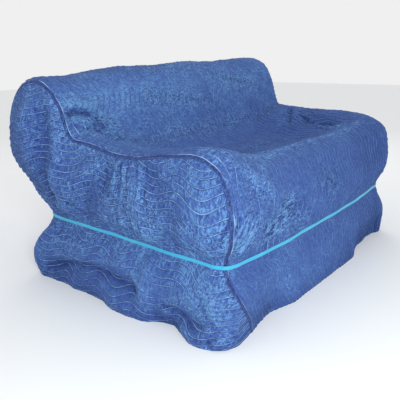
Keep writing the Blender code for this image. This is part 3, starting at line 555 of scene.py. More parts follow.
    def tilted(self, points: Points) -> Points:
        """The points with the cloth round the cover's middle lowered or lifted, as the band slopes."""
        across = (points[..., 0] / self.half_width + 1) / 2
        rise = self.tilt_low + self.tilt_rear * points[..., 1] + self.tilt_right * across
        height = points[..., 2]
        fade = smooth_step(self.tilt_top - height, 0.0, self.tilt_fade)
        moved = points.copy()
        moved[..., 2] += rise * fade * smooth_step(height, 0.0, BAND_LOW)
        return moved


# The cloth's fine surface


@dataclass(frozen=True)
class Quilting:
    """Wavy lines of stitching over a thin padding, which puffs up between them."""

    pitch: float = 0.0312
    wave_length: float = 0.230
    wave_height: float = 0.0165
    steps_per_line: int = 4
    near_line: float = 0.19
    puff: float = 0.0026
    puff_power: float = 0.60
    sink: float = 0.0008
    pucker: float = 0.0008
    pucker_least: float = 0.35
    pucker_shift: float = 2.4
    pucker_lengths: tuple[float, ...] = (0.0232, 0.0325, 0.047)

    def wave(self, along: Points, start: float) -> Points:
        """How far the lines swing sideways at a place along them."""
        return self.wave_height * np.sin(2 * math.pi * along / self.wave_length + start)

    def phase(self, along: Points, across: Points, start: float) -> Points:
        """The count of lines passed on the way across; it is whole on a line."""
        return (across + self.wave(along, start)) / self.pitch

    def columns(self, count: int) -> Points:
        """Counts of lines passed at a row of mesh columns, which crowd towards the lines."""
        step = np.arange(count + 1) % self.steps_per_line
        inside = np.array([0.0, self.near_line, 0.5, 1 - self.near_line])
        return np.arange(count + 1) // self.steps_per_line + inside[step]

    def relief(self, along: Points, phase: Points, crush: Points) -> Points:
        """Height of the padding between its lines, with short puckers square to them where it is crushed."""
        puffed = np.abs(np.sin(math.pi * phase)) ** self.puff_power
        channel = np.floor(phase)
        ripple = np.zeros_like(phase)
        for order, length in enumerate(self.pucker_lengths, 2):
            ripple += np.sin(2 * math.pi * along / length + self.pucker_shift * order * channel)
        strength = self.pucker_least + (1 - self.pucker_least) * crush
        return self.puff * puffed - self.sink + self.pucker * strength * ripple * puffed


@dataclass(frozen=True)
class Drape:
    """How the cloth hangs on its base form: folds, creases, gathers at the band and a soft unevenness."""

    fold_calm: Pair = (0.012, 0.075)
    fold_band: float = 0.030
    crease_calm: Pair = (0.010, 0.030)
    crease_band: Pair = (0.012, 0.035)
    relief_calm: Pair = (0.0095, 0.019)
    relief_band: Pair = (0.010, 0.024)
    gather_height: float = 0.0042
    gather_reach: float = 0.075
    gather_band: Pair = (0.009, 0.026)
    gather_lengths: tuple[float, ...] = (0.034, 0.047, 0.081)
    gather_drift: Triple = (1.7, 2.2, 5.1)
    tug_height: float = 0.0022
    tug_length: float = 0.037
    tug_drift: Pair = (1.3, 9.0)
    tug_calm: Pair = (0.0085, 0.017)
    tug_middle: float = 0.020
    tug_width: float = 0.016
    hem_level: float = 0.03
    uneven_height: float = 0.0026
    uneven_waves: int = 14
    uneven_seed: int = 11
    uneven_lengths: Pair = (0.09, 0.34)
    uneven_band: Pair = (0.01, 0.05)
    crease_gain: float = 1.5
    crush_long: float = 0.42
    crush_side: float = 0.85
    crush_reach: float = 0.050
    shade_fine: float = 0.012
    shade_large: float = 0.040

    @staticmethod
    def creases(points: Points, table: tuple[Crease, ...]) -> Points:
        """Height of a table of creases over the points."""
        total = np.zeros(points.shape[:-1])
        for crease in table:
            near = distance_to(points, np.array(crease.path))
            total += crease.height * bell(near, 0.0, crease.width)
        return total

    @staticmethod
    def patch_shading(points: Points) -> tuple[Points, Points]:
        """Painted light and shade from the patches and towards the hem, and how much smoother the cloth lies.
        """
        painted_shading = -HEM_SHADE * (1 - smooth_step(points[..., 2], 0.0, HEM_SHADE_HEIGHT))
        smooth = np.zeros(points.shape[:-1])
        for patch in SHADE_PATCHES:
            away = ((points - np.array(patch.centre)) / np.array(patch.reach)) ** 2
            share = np.exp(-away.sum(axis=-1))
            painted_shading += patch.amount * share
            smooth += patch.smooth * share
        return painted_shading, smooth

    def uneven(self, points: Points) -> Points:
        """A gentle unevenness from a few seeded waves in space."""
        chance = np.random.default_rng(self.uneven_seed)
        total = np.zeros(points.shape[:-1])
        for _ in range(self.uneven_waves):
            direction = unit(chance.normal(size=3))
            length = chance.uniform(*self.uneven_lengths)
            total += np.sin(points @ direction * 2 * math.pi / length + chance.uniform(0, 2 * math.pi))
        return self.uneven_height * total / math.sqrt(self.uneven_waves)

    def gathers(self, around: Points, height: Points) -> Points:
        """Short upright folds above and below the band."""
        away = np.abs(height - BAND_MIDDLE)
        reach = smooth_step(away, *self.gather_band) * bell(away, 0.0, self.gather_reach)
        shift, drift, rate = self.gather_drift
        total = np.zeros_like(around)
        for order, length in enumerate(self.gather_lengths, 1):
            bent = shift * order + drift * np.sin(around * rate * order)
            total += np.sin(2 * math.pi * around / length + bent)
        return self.gather_height * reach * total / len(self.gather_lengths)

    def tug(self, place: Points, calm: Points) -> Points:
        """Short puckers beside a seam, from places along it and distances from it."""
        drift, rate = self.tug_drift
        ripple = np.sin(2 * math.pi * place / self.tug_length + drift * np.sin(rate * place))
        ripple *= smooth_step(calm, *self.tug_calm) * bell(calm, self.tug_middle, self.tug_width)
        return self.tug_height * ripple


class Surface(NamedTuple):
    """A panel's fine surface: outer and lining points, outward directions, cut places, lines and shading."""

    outer: Points
    lining: Points
    normals: Points
    cut: Points
    phase: Points
    shade: Points
    calm: Points
    crush: Points


class SeamLine(NamedTuple):
    """A seam: its points and the points beside it on the long panel and on the side panel."""

    points: Points
    long_leg: Points
    side_leg: Points


class ClothParts(NamedTuple):
    """What the other pieces need of the cloth: surfaces by panel, seams by side, and the band's course."""

    surfaces: dict[str, Surface]
    seams: dict[str, SeamLine]
    ring: Points


@dataclass
class CoverCloth:
    """All three panels' fine surfaces, worked out together because they share their seams."""

    form: CoverForm = field(default_factory=CoverForm)
    quilting: Quilting = field(default_factory=Quilting)
    drape: Drape = field(default_factory=Drape)
    finer: int = 2
    lining_depth: float = 0.0045
    lining_spread: int = 3
    line_fade: float = 0.090
    side_start: float = -0.615
    side_lift: float = 0.0085
    long_start: float = 0.0
    pull: float = 0.085
    pull_width: float = 0.42
    pull_height: float = 0.19
    pull_below: float = 0.6
    pull_depth: float = 0.12
    pull_powers: Pair = (0.75, 1.5)
    side_pull: float = 0.065
    side_pull_from: float = 0.34
    side_pull_low: Pair = (0.05, 0.20)
    side_pull_top: float = 0.62
    side_pull_fade: float = 0.22
    side_gather: float = 1.13

    def build(self) -> ClothParts:
        """Works out the three panels, their seams and the band's course."""
        form = self.form
        long_points = form.long_base()
        sides = {}
        for side in Side:
            sides[side] = form.side_base(long_points[:, side.column].copy(), side.sign)
            form.slide_seam(long_points, sides[side], side)
        seams = {side: self.seam_line(long_points, sides[side], side) for side in Side}
        coarse = [seam.points[:: form.along] for seam in seams.values()]
        surfaces = {"long": self.long_surface(long_points, coarse)}
        for side, seam in zip(Side, coarse):
            surfaces[side.label] = self.side_surface(sides[side], seam, side)
        named = {side.label: SeamLine(*(form.tilted(line) for line in seams[side])) for side in Side}
        return ClothParts(surfaces, named, form.tilted(self.band_course(long_points, sides)))

    def seam_line(self, long_points: Points, side_points: Points, side: Side) -> SeamLine:
        """A seam with the places beside it on both panels."""
        inner = 1 if side is Side.LEFT else -2
        top_from, top_to = self.form.row(SIDE_TOP_FROM), self.form.row(SIDE_TOP_TO)
        legs = []
        for row in range(len(long_points)):
            if row <= top_from:
                legs.append(side_points[top_from - row, 1])
            elif row < top_to:
                legs.append(side_points[1, row - top_from])
            else:
                legs.append(side_points[row - top_to, -2])
        legs[top_from] = side_points[1, 1]
        legs[top_to] = side_points[1, -2]
        return SeamLine(long_points[:, side.column].copy(), long_points[:, inner].copy(), np.array(legs))

    def band_course(self, long_points: Points, sides: dict[Side, Points]) -> Points:
        """The middle line of the band on the base surface: a closed line round the cover."""
        form = self.form
        pairs = [(form.row(end + "_band_low"), form.row(end + "_band_high")) for end in ("rear", "front")]
        rows = [(low + high) // 2 for low, high in pairs]
        across = form.row(SIDE_TOP_FROM) - rows[0]
        right, left = sides[Side.RIGHT], sides[Side.LEFT]
        parts = (long_points[rows[0]], right[across, 1:-1], long_points[rows[1], ::-1], left[across, -2:0:-1])
        return np.concatenate(parts)

    @property
    def line_count(self) -> float:
        """How many lines apart the long panel's seams are."""
        return self.form.across / self.quilting.steps_per_line

    def long_surface(self, base: Points, seams: Lines) -> Surface:
        """The long panel, whose columns follow the quilting lines away from its seams.

        Args:
            base: The base surface.
            seams: Its two seams.

        Returns:
            The fine surface.
        """
        quilting = self.quilting
        middle = base[:, base.shape[1] // 2]
        run = run_along(middle)
        phase = np.broadcast_to(quilting.columns(self.form.across), base.shape[:2])
        place = phase * quilting.pitch
        width = self.line_count * quilting.pitch
        fade = smooth_step(np.minimum(place, width - place), 0.0, self.line_fade)
        across = place - quilting.wave(run, self.long_start)[:, None] * fade
        across = across - self.corner_pull(middle, place)
        points = np.empty_like(base)
        for row, line in enumerate(base):
            reach = run_along(line)
            points[row] = read_along(line, reach, across[row] / width * reach[-1])
        along = np.broadcast_to(run[:, None], across.shape)
        return self.dressed(points, seams, np.stack([along, across], axis=-1), phase, points[..., 0], True)

    def corner_pull(self, middle: Points, place: Points) -> Points:
        """How far the lines beside the front left seam are drawn towards its crossing with the band."""
        front = smooth_step(-middle[:, 1], -self.pull_depth, 0.0)
        above = bell(np.maximum(middle[:, 2] - BAND_MIDDLE, 0.0), 0.0, self.pull_height)
        below = bell(np.minimum(middle[:, 2] - BAND_MIDDLE, 0.0), 0.0, self.pull_below * self.pull_height)
        share = np.clip(place / self.pull_width, 0.0, 1.0)
        skew, power = self.pull_powers
        return self.pull * (front * above * below)[:, None] * np.sin(math.pi * share**skew) ** power

    def side_surface(self, base: Points, seam: Points, side: Side) -> Surface:
        """A side panel, whose lines run from the rear to the front."""
        fine = base
        for _ in range(2):
            count = fine.shape[0]
            where = np.linspace(0, count - 1, (count - 1) * self.finer + 1)
            flat = spline(np.arange(count, dtype=float), fine.reshape(count, -1), where)
            fine = flat.reshape(len(where), fine.shape[1], 3).transpose(1, 0, 2)
        height = fine[..., 2]
        drop = self.side_pull * smooth_step(self.side_pull_from - fine[..., 1], 0.0, self.side_pull_from)
        drop = drop * smooth_step(height, *self.side_pull_low)
        drop = drop * smooth_step(self.side_pull_top - height, 0.0, self.side_pull_fade)
        cut = np.stack([fine[..., 1], self.side_gather * (height + self.side_lift + drop)], axis=-1)
        phase = self.quilting.phase(cut[..., 0], cut[..., 1], self.side_start)
        return self.dressed(fine, [seam], cut, phase, cut[..., 0], side is Side.LEFT)

    def dressed(
        self, base: Points, seams: Lines, cut: Points, phase: Points, around: Points, flip: bool
    ) -> Surface:
        """Lays folds, creases, gathers and quilting on a base surface.

        Args:
            base: The base surface.
            seams: The seams that it ends at.
            cut: Places in the cut cloth, along the quilting lines and across them.
            phase: The count of lines passed on the way across.
            around: Places round the cover, for the gathers at the band.
            flip: Whether the grid's own sense points inwards.

        Returns:
            The fine surface.
        """
        form, drape, quilting = self.form, self.drape, self.quilting
        height, along = base[..., 2], cut[..., 0]
        away = np.abs(height - BAND_MIDDLE)
        calm = np.min([distance_to(base, seam) for seam in seams], axis=0)
        normals = grid_normals(base, flip)
        level = normals.copy()
        level[..., 2] = 0.0
        at_hem = smooth_step(height, 0.0, drape.hem_level)[..., None]
        normals = unit(normals * at_hem + level * (1 - at_hem))
        large = drape.creases(base, LARGE_FOLDS) * (1 - bell(height, BAND_MIDDLE, drape.fold_band))
        large += drape.uneven(base) * smooth_step(away, *drape.uneven_band)
        large *= smooth_step(calm, *drape.fold_calm)
        fine = drape.crease_gain * drape.creases(base, FINE_CREASES) * smooth_step(away, *drape.crease_band)
        fine += drape.gathers(around, height)
        fine *= smooth_step(calm, *drape.crease_calm)
        is_long = len(seams) > 1
        place = along if is_long else base[..., 1] + base[..., 2]
        fine += drape.tug(place, calm) * smooth_step(away, *drape.crease_band)
        near = np.min([distance_to(base, np.array(crease.path)) for crease in FINE_CREASES], axis=0)
        usual = drape.crush_long if is_long else drape.crush_side
        painted_shading, flatter = drape.patch_shading(base)
        crush = usual * (1 - flatter) + (1 - usual) * bell(near, 0.0, drape.crush_reach)
        relief = quilting.relief(along, phase, crush) * smooth_step(calm, *drape.relief_calm)
        relief = relief * smooth_step(away, *drape.relief_band)
        smooth = form.tilted(base + (large + fine)[..., None] * normals)
        smooth_normals = grid_normals(smooth, flip)
        outer = smooth + relief[..., None] * smooth_normals
        low = fine.copy()
        for _ in range(self.lining_spread):
            padded = np.pad(low, 1, mode="edge")
            beside = (padded[:-2, 1:-1], padded[2:, 1:-1], padded[1:-1, :-2], padded[1:-1, 2:])
            low = np.minimum(low, np.min(beside, axis=0))
        inward = (large + low - self.lining_depth)[..., None]
        lining = form.tilted(base + inward * normals)
        for points in (outer, lining):
            points[..., 2] = np.maximum(points[..., 2], 0.0)
        # Painted shade in creases and folds, painted light on their ridges, plus the painted patches
        shade = np.clip(fine / drape.shade_fine + large / drape.shade_large, -1.0, 1.0) + painted_shading
        return Surface(outer, lining, smooth_normals, cut, phase, shade, calm, crush)


# Making meshes


class Shape(NamedTuple):
    """A mesh's points and faces, with a place in the cloth and shading values for each point."""

    points: Points
    faces: Lines
    cut: Points
    values: dict[str, Points]


def new_object(name: str, data: bpy.types.ID) -> Object:
    """A linked object for a mesh, a light or a camera."""
    made = bpy.data.objects.new(name, data)
    bpy.context.collection.objects.link(made)
    return made


def signed_volume(points: Points, faces: Lines) -> float:
    """The volume inside the faces, negative where they face inwards."""
    total = 0.0
    for group in faces:
        for last in range(2, group.shape[1]):
            a, b, c = (points[group[:, corner]] for corner in (0, last - 1, last))
            total += float((a * np.cross(b, c)).sum()) / 6
    return total


def grid_faces(rows: int, columns: int, first: int = 0) -> Points:
    """Four-sided faces over a grid of points."""
    index = np.arange(rows * columns).reshape(rows, columns) + first
    return np.stack([index[:-1, :-1], index[:-1, 1:], index[1:, 1:], index[1:, :-1]], -1).reshape(-1, 4)


def grid_edge(rows: int, columns: int, first: int = 0) -> Points:
    """The points round a grid's edge, in the sense in which its faces run."""
    index = np.arange(rows * columns).reshape(rows, columns) + first
    return np.concatenate([index[0, :-1], index[:-1, -1], index[-1, :0:-1], index[:0:-1, 0]])


def rim_faces(outer_edge: Points, inner_edge: Points, places: Points) -> Points:
    """Three-sided faces between a fine edge and a coarse one.

    Args:
        outer_edge: The fine edge's points.
        inner_edge: The coarse edge's points.
        places: Where on the fine edge each coarse point lies.

    Returns:
        The faces.
    """
    faces = []
    ends = np.append(places[1:], len(outer_edge))
    for order, (start, end) in enumerate(zip(places, ends)):
        near, far = inner_edge[order], inner_edge[(order + 1) % len(inner_edge)]
        middle = (start + end) // 2
        for place in range(start, end):
            first, last = outer_edge[place], outer_edge[(place + 1) % len(outer_edge)]
            faces.append((last, first, near if place < middle else far))
        faces.append((outer_edge[middle], near, far))
    return np.array(faces)


def sheet_shape(surface: Surface, coarse: tuple[int, int]) -> Shape:
    """A closed sheet: the fine outer surface, a lining and the rim between them.

    Args:
        surface: The panel's fine surface.
        coarse: How many fine steps one step of the lining spans, along and across.

    Returns:
        The sheet.
    """
    take = (slice(None, None, coarse[0]), slice(None, None, coarse[1]))
    lining = surface.lining[take]
    rows, columns = surface.outer.shape[:2]
    count = rows * columns
    outer_edge = grid_edge(rows, columns)
    inner_edge = grid_edge(*lining.shape[:2], count)
    steps = [coarse[1]] * (lining.shape[1] - 1) + [coarse[0]] * (lining.shape[0] - 1)
    places = np.concatenate([[0], np.cumsum(steps + steps)])[:-1]
    rim = rim_faces(outer_edge, inner_edge, places)
    faces = [grid_faces(rows, columns), grid_faces(*lining.shape[:2], count)[:, ::-1], rim]
    points = np.concatenate([surface.outer.reshape(-1, 3), lining.reshape(-1, 3)])
    cut = np.concatenate([surface.cut.reshape(-1, 2), surface.cut[take].reshape(-1, 2)])
    values = {}
    for name in ("phase", "shade", "calm", "crush"):
        value = getattr(surface, name)
        values[name] = np.concatenate([value.ravel(), value[take].ravel()])
    return Shape(points, faces, cut, values)


def ring_shape(rings: Points, closed: bool, widths: Points) -> Shape:
    """A bar or a loop from cross sections.

    Args:
        rings: Stations x points of a closed cross section x 3.
        closed: Whether the last station joins the first.
        widths: Each cross section point's place across, in metres.

    Returns:
        The closed shape, whose cut places are the length run and the place across.
    """
    stations, around = rings.shape[:2]
    index = np.arange(stations * around).reshape(stations, around)
    ends = index if not closed else np.vstack([index, index[:1]])
    near, far = ends[:-1], ends[1:]
    turned = np.roll(near, -1, axis=1), np.roll(far, -1, axis=1)
    faces = [np.stack([near, turned[0], turned[1], far], -1).reshape(-1, 4)]
    if not closed:
        for station, step in ((0, -1), (-1, 1)):
            rim = index[station][::step]
            faces.append(np.array([[rim[0], rim[i], rim[i + 1]] for i in range(1, around - 1)]))
    run = run_along(rings.mean(axis=1))
    cut = np.stack([np.repeat(run, around), np.tile(widths, stations)], axis=-1)
    return Shape(rings.reshape(-1, 3), faces, cut, {})


@dataclass(frozen=True)
class Workshop:
    """Turns shapes into finished pieces of the cover in the loaded model's frame."""

    origin: Triple
    sharp_angle: float = math.radians(62)

    def piece(self, name: str, shape: Shape, material: Material) -> Object:
        """A mesh object from a shape, with its places in the cut cloth as a UV map.

        Args:
            name: The piece's name.
            shape: Its points and faces in the design frame.
            material: Its finish.

        Returns:
            The object, at the origin and unturned.
        """
        points = shape.points - np.array(self.origin)
        inside_out = signed_volume(points, shape.faces) < 0
        groups = [group[:, ::-1] if inside_out else group for group in shape.faces]
        corners = np.concatenate([group.ravel() for group in groups])
        sizes = np.concatenate([np.full(len(group), group.shape[1]) for group in groups])
        mesh = bpy.data.meshes.new(name)
        mesh.vertices.add(len(points))
        mesh.vertices.foreach_set("co", points.astype(np.float32).ravel())
        mesh.loops.add(len(corners))
        mesh.loops.foreach_set("vertex_index", corners.astype(np.int32))
        mesh.polygons.add(len(sizes))
        mesh.polygons.foreach_set("loop_start", np.concatenate([[0], np.cumsum(sizes)[:-1]]).astype(np.int32))
        mesh.update(calc_edges=True)
        places = mesh.uv_layers.new(name="cut")
        places.data.foreach_set("uv", shape.cut[corners].astype(np.float32).ravel())
        for label, values in shape.values.items():
            mesh.attributes.new(label, "FLOAT", "POINT").data.foreach_set("value", values.astype(np.float32))
        mesh.validate()
        mesh.shade_smooth()
        mesh.set_sharp_from_angle(angle=self.sharp_angle)
        mesh.materials.append(material)
        LOG.info("%s: %d points, %d faces", name, len(points), len(sizes))
        return new_object(name, mesh)

    def guides(self, name: str, lines: Lines, facings: Lines) -> Object:
        """Lines of points joined by edges, each point with its outward direction.

        Args:
            name: The name of the object.
            lines: The lines, in the design frame.
            facings: The outward directions along each line.

        Returns:
            An object for a geometry-nodes tree to work on.
        """
        starts = np.cumsum([0] + [len(line) for line in lines[:-1]])
        first = np.concatenate([start + np.arange(len(line) - 1) for start, line in zip(starts, lines)])
        edges = np.column_stack([first, first + 1])
        points = np.concatenate(lines) - np.array(self.origin)
        mesh = bpy.data.meshes.new(name)
        mesh.from_pydata(points.tolist(), edges.tolist(), [])
        out = mesh.attributes.new("out", "FLOAT_VECTOR", "POINT")
        out.data.foreach_set("vector", np.concatenate(facings).astype(np.float32).ravel())
        return new_object(name, mesh)


def feed(tree: bpy.types.NodeTree, value: object, into: NodeSocket) -> None:
    """Links a socket or a node's first output to an input, or sets the input to a constant."""
    source = value.source if isinstance(value, Sock) else value
    source = source.outputs[0] if isinstance(source, Node) else source
    if isinstance(source, NodeSocket):
        tree.links.new(source, into)
    else:
        into.default_value = source


class TreeBuilder:
    """A node tree whose nodes one method adds."""

    tree: bpy.types.NodeTree

    def node(self, kind: str, inputs: dict | None = None, **settings: str) -> Node:
        """Adds a node, sets it and feeds its inputs from constants, sockets or nodes."""
        made = self.tree.nodes.new(kind)
        for key, value in settings.items():
            setattr(made, key, value)
        for key, value in (inputs or {}).items():
            feed(self.tree, value, made.inputs[key])
        return made


class NodeTree(TreeBuilder):
    """A geometry-nodes tree with named inputs."""

    def __init__(self, name: str, inputs: dict[str, float]) -> None:
        """Starts the tree with its named sizes as inputs."""
        self.tree = bpy.data.node_groups.new(name, "GeometryNodeTree")
        self.sizes = inputs
        new_socket = self.tree.interface.new_socket
        new_socket(name="Guides", in_out="INPUT", socket_type="NodeSocketGeometry")
        for label, value in inputs.items():
            kind = "NodeSocketInt" if isinstance(value, int) else "NodeSocketFloat"
            new_socket(name=label, in_out="INPUT", socket_type=kind).default_value = value
        new_socket(name="Made", in_out="OUTPUT", socket_type="NodeSocketGeometry")
        self.start = self.tree.nodes.new("NodeGroupInput")

    def finish(self, result: Node, material: Material) -> None:
        """Ends the tree in realised instances with their finish."""
        real = self.node("GeometryNodeRealizeInstances", {"Geometry": result})
        smooth = self.node("GeometryNodeSetShadeSmooth", {"Geometry": real})
        done = self.node("GeometryNodeSetMaterial", {"Geometry": smooth, "Material": material})
        self.node("NodeGroupOutput", {0: done})

    def run(self, guides: Object, name: str) -> Object:
        """Makes a plain mesh piece from the guides and removes them.

        Args:
            guides: The object that the tree works on.
            name: The piece's name.

        Returns:
            The piece.
        """
        modifier = guides.modifiers.new(name, "NODES")
        modifier.node_group = self.tree
        for item in self.tree.interface.items_tree:
            if item.item_type == "SOCKET" and item.in_out == "INPUT" and item.name in self.sizes:
                modifier[item.identifier] = self.sizes[item.name]
        graph = bpy.context.evaluated_depsgraph_get()
        mesh = bpy.data.meshes.new_from_object(guides.evaluated_get(graph))
        mesh.name = name
        made = new_object(name, mesh)
        old = guides.data
        bpy.data.objects.remove(guides, do_unlink=True)
        bpy.data.meshes.remove(old)
        LOG.info("%s: %d faces", name, len(mesh.polygons))
        return made


@dataclass(frozen=True)
class StitchRow:
    """Single stitches laid end to end along guide lines."""

    pitch: float = 0.0062
    length: float = 0.0048
    width: float = 0.0012
    height: float = 0.0010
    uneven: Pair = (0.85, 1.10)
    seed: int = 5

    def make(self, shop: Workshop, name: str, lines: Lines, facings: Lines, material: Material) -> Object:
        """The stitches along the lines as one piece."""
        sizes = {"Pitch": self.pitch, "Length": self.length, "Width": self.width, "Height": self.height}
        tree = NodeTree("stitch_row", {**sizes, "Seed": self.seed})
        start = tree.start.outputs
        curve = tree.node("GeometryNodeMeshToCurve", {"Mesh": start["Guides"]})
        spacing = {"Curve": curve, "Length": start["Pitch"]}
        spaced = tree.node("GeometryNodeResampleCurve", spacing, mode="LENGTH")
        tangent = tree.node("GeometryNodeInputTangent")
        out = tree.node("GeometryNodeInputNamedAttribute", {"Name": "out"}, data_type="FLOAT_VECTOR")
        align = "FunctionNodeAlignRotationToVector"
        ahead = tree.node(align, {"Vector": tangent}, axis="X")
        turned = tree.node(align, {"Rotation": ahead, "Vector": out}, axis="Z", pivot_axis="X")
        least, most = self.uneven
        limits = {"Seed": start["Seed"], 2: least, 3: most}
        chance = tree.node("FunctionNodeRandomValue", limits, data_type="FLOAT")
        long = tree.node("ShaderNodeMath", {0: start["Length"], 1: chance.outputs[1]}, operation="MULTIPLY")
        size = tree.node("ShaderNodeCombineXYZ", {0: long, 1: start["Width"], 2: start["Height"]})
        bead = tree.node("GeometryNodeMeshUVSphere", {"Segments": 6, "Rings": 4, "Radius": 0.5})
        places = {"Points": spaced, "Instance": bead, "Rotation": turned, "Scale": size}
        tree.finish(tree.node("GeometryNodeInstanceOnPoints", places), material)
        return tree.run(shop.guides(name + "_guides", lines, facings), name)


@dataclass(frozen=True)
class QuiltThread:
    """The thread of the quilting lines, a fine cord in the bottom of each groove."""

    radius: float = 0.00062
    sides: int = 4
    lift: float = 0.0005

    def make(self, shop: Workshop, name: str, lines: Lines, facings: Lines, material: Material) -> Object:
        """The thread along the lines as one piece."""
        tree = NodeTree("quilt_thread", {"Radius": self.radius, "Sides": self.sides})
        start = tree.start.outputs
        curve = tree.node("GeometryNodeMeshToCurve", {"Mesh": start["Guides"]})
        circle = {"Resolution": start["Sides"], "Radius": start["Radius"]}
        ring = tree.node("GeometryNodeCurvePrimitiveCircle", circle)
        cord = {"Curve": curve, "Profile Curve": ring, "Fill Caps": True}
        tree.finish(tree.node("GeometryNodeCurveToMesh", cord), material)
        raised = [line + self.lift * facing for line, facing in zip(lines, facings)]
        return tree.run(shop.guides(name + "_guides", raised, facings), name)


# Trim


@dataclass(frozen=True)
class SeamBinding:
    """A flat tape folded over a seam, with a row of stitches along each edge."""

    half: float = 0.0085
    clear: float = 0.0003
    thick: float = 0.0023
    edge_power: float = 5.0
    stitch_at: float = 0.72
    stitch_dent: float = 0.0004
    stitch_spread: float = 0.10
    stitch_lift: float = 0.0002
    wavers: tuple[Triple, ...] = ((0.0006, 41.0, 0.0), (0.00036, 97.0, 1.0))
    waver_from: float = 0.02
    ripples: tuple[Pair, ...] = ((0.10, 0.017), (0.08, 0.043))
    finer: int = 2
    points_across: int = 15

    def frame(self, seam: SeamLine) -> tuple[Points, Lines, Lines]:
        """Fine seam points, then the directions away from the seam and outwards on both its sides."""
        knots = np.arange(len(seam.points), dtype=float)
        where = np.linspace(0, knots[-1], (len(knots) - 1) * self.finer + 1)
        points = spline(knots, seam.points, where)
        along = unit(np.gradient(points, axis=0))
        beside, facing = [], []
        middle = points.mean(axis=0) * (0, 1, 1)
        for leg in (seam.long_leg, seam.side_leg):
            out = spline(knots, unit(leg - seam.points), where)
            out = unit(out - (out * along).sum(axis=1)[:, None] * along)
            up = unit(np.cross(along, out))
            sense = np.sign((up * (points - middle)).sum(axis=1))[:, None]
            beside.append(out)
            facing.append(up * sense)
        return points, beside, facing

    def height(self, share: Points) -> Points:
        """The tape's height at a share of the way to its edge."""
        crown = (1 - np.abs(share) ** self.edge_power) ** 0.5
        dent = bell(np.abs(share), self.stitch_at, self.stitch_spread)
        return self.thick * crown - self.stitch_dent * dent

    def shape(self, seam: SeamLine) -> Shape:
        """The tape's closed shape."""
        points, beside, facing = self.frame(seam)
        run = run_along(points)
        waver = sum(size * np.sin(run * rate + start) for size, rate, start in self.wavers)
        waver = waver * smooth_step(points[:, 2], 0, self.waver_from)
        ripple = 1 + sum(size * np.sin(run * 2 * math.pi / length) for size, length in self.ripples)
        shares = np.sin(np.linspace(-0.5 * math.pi, 0.5 * math.pi, self.points_across))
        lines = []
        for share in shares:
            lines.append(self.line(points, beside, facing, share, self.height(share) * ripple, waver))
        for share in shares[-2:0:-2]:
            lines.append(self.line(points, beside, facing, share, 0.0 * ripple, waver))
        rings = np.stack(lines, axis=1)
        rings[..., 2] = np.maximum(rings[..., 2], 0.0)
        rings[[0, -1], :, 2] = 0.0
        widths = np.concatenate([shares, shares[-2:0:-2]]) * self.half
        return ring_shape(rings, False, widths)

    def line(
        self, points: Points, beside: Lines, facing: Lines, share: float, height: Points, waver: Points
    ) -> Points:
        """One line along the tape at a share of the way to its edge."""
        blend = smooth_step(share, -0.5, 0.5)
        up = unit(facing[0] * (1 - blend) + facing[1] * blend)
        out = beside[1] * max(share, 0.0) - beside[0] * min(share, 0.0)
        side = unit(beside[1] - beside[0])
        return points + self.half * out + waver[:, None] * side + (self.clear + height)[:, None] * up

    def stitch_lines(self, seam: SeamLine) -> tuple[Lines, Lines]:
        """The two rows of stitches on the tape with their outward directions."""
        points, beside, facing = self.frame(seam)
        still = np.zeros(len(points))
        lines, ups = [], []
        for share, up in ((-self.stitch_at, facing[0]), (self.stitch_at, facing[1])):
            height = still + self.height(np.float64(share)) + self.stitch_lift
            lines.append(self.line(points, beside, facing, share, height, still)[1:-1])
            ups.append(up[1:-1])
        return lines, ups


@dataclass(frozen=True)
class CinchBand:
    """The webbing band round the cover's middle, which passes over the bindings."""

    width: float = 0.0158
    thick: float = 0.0018
    clear: float = 0.0006
    hop: float = 0.0034
    hop_from: float = 0.010
    hop_reach: float = 0.022
    sways: tuple[Triple, ...] = ((0.0014, 9.0, 0.4), (0.0009, 23.0, 1.9))
    narrowing: float = 0.10
    narrow_turns: float = 13.0
    narrow_start: float = 0.8
    edge_power: float = 6.0
    kink: Pair = (0.42, -0.05)
    kink_turn: float = 0.75
    kink_reach: float = 0.020
    kink_clear: float = 0.9
    points_across: int = 9

    def shape(self, ring: Points, seams: dict[str, SeamLine]) -> Shape:
        """The band's closed loop.

        Args:
            ring: Its course on the cloth.
            seams: The seams that it crosses.

        Returns:
            The closed shape.
        """
        flat = ring.copy()
        flat[:, 2] = 0.0
        course = unit(np.roll(flat, -1, axis=0) - np.roll(flat, 1, axis=0))
        out = np.column_stack([course[:, 1], -course[:, 0], np.zeros(len(ring))])
        out *= np.sign((out * (flat - flat.mean(axis=0))).sum(axis=1).mean())
        near = np.min([distance_to(ring, seam.points[::4]) for seam in seams.values()], axis=0)
        lift = self.clear + self.hop * (1 - smooth_step(near, self.hop_from, self.hop_reach))
        run = run_along(ring)
        turns = 2 * math.pi * run / run[-1]
        sway = sum(size * np.sin(rate * turns + start) for size, rate, start in self.sways)
        narrow = 1 - self.narrowing * np.sin(self.narrow_turns * turns + self.narrow_start) ** 2
        gap = np.linalg.norm(flat[:, :2] - np.array(self.kink), axis=1)
        roll = self.kink_turn * bell(gap, 0.0, self.kink_reach)
        half = 0.5 * self.width * narrow
        lift = lift + half * np.abs(np.sin(roll)) * self.kink_clear
        shares = np.sin(np.linspace(-0.5 * math.pi, 0.5 * math.pi, self.points_across))
        lines, widths = [], []
        for face, order in ((1.0, shares), (-1.0, shares[-2:0:-1])):
            for share in order:
                proud = 0.5 * self.thick * (1 + face * (1 - abs(share) ** self.edge_power) ** 0.5)
                across = share * half
                rise = across * np.cos(roll) - proud * np.sin(roll)
                reach = lift + proud * np.cos(roll) + across * np.sin(roll)
                line = ring + reach[:, None] * out
                line[:, 2] += rise + sway
                lines.append(line)
                widths.append(share * 0.5 * self.width)
        return ring_shape(np.stack(lines, axis=1), True, np.array(widths))


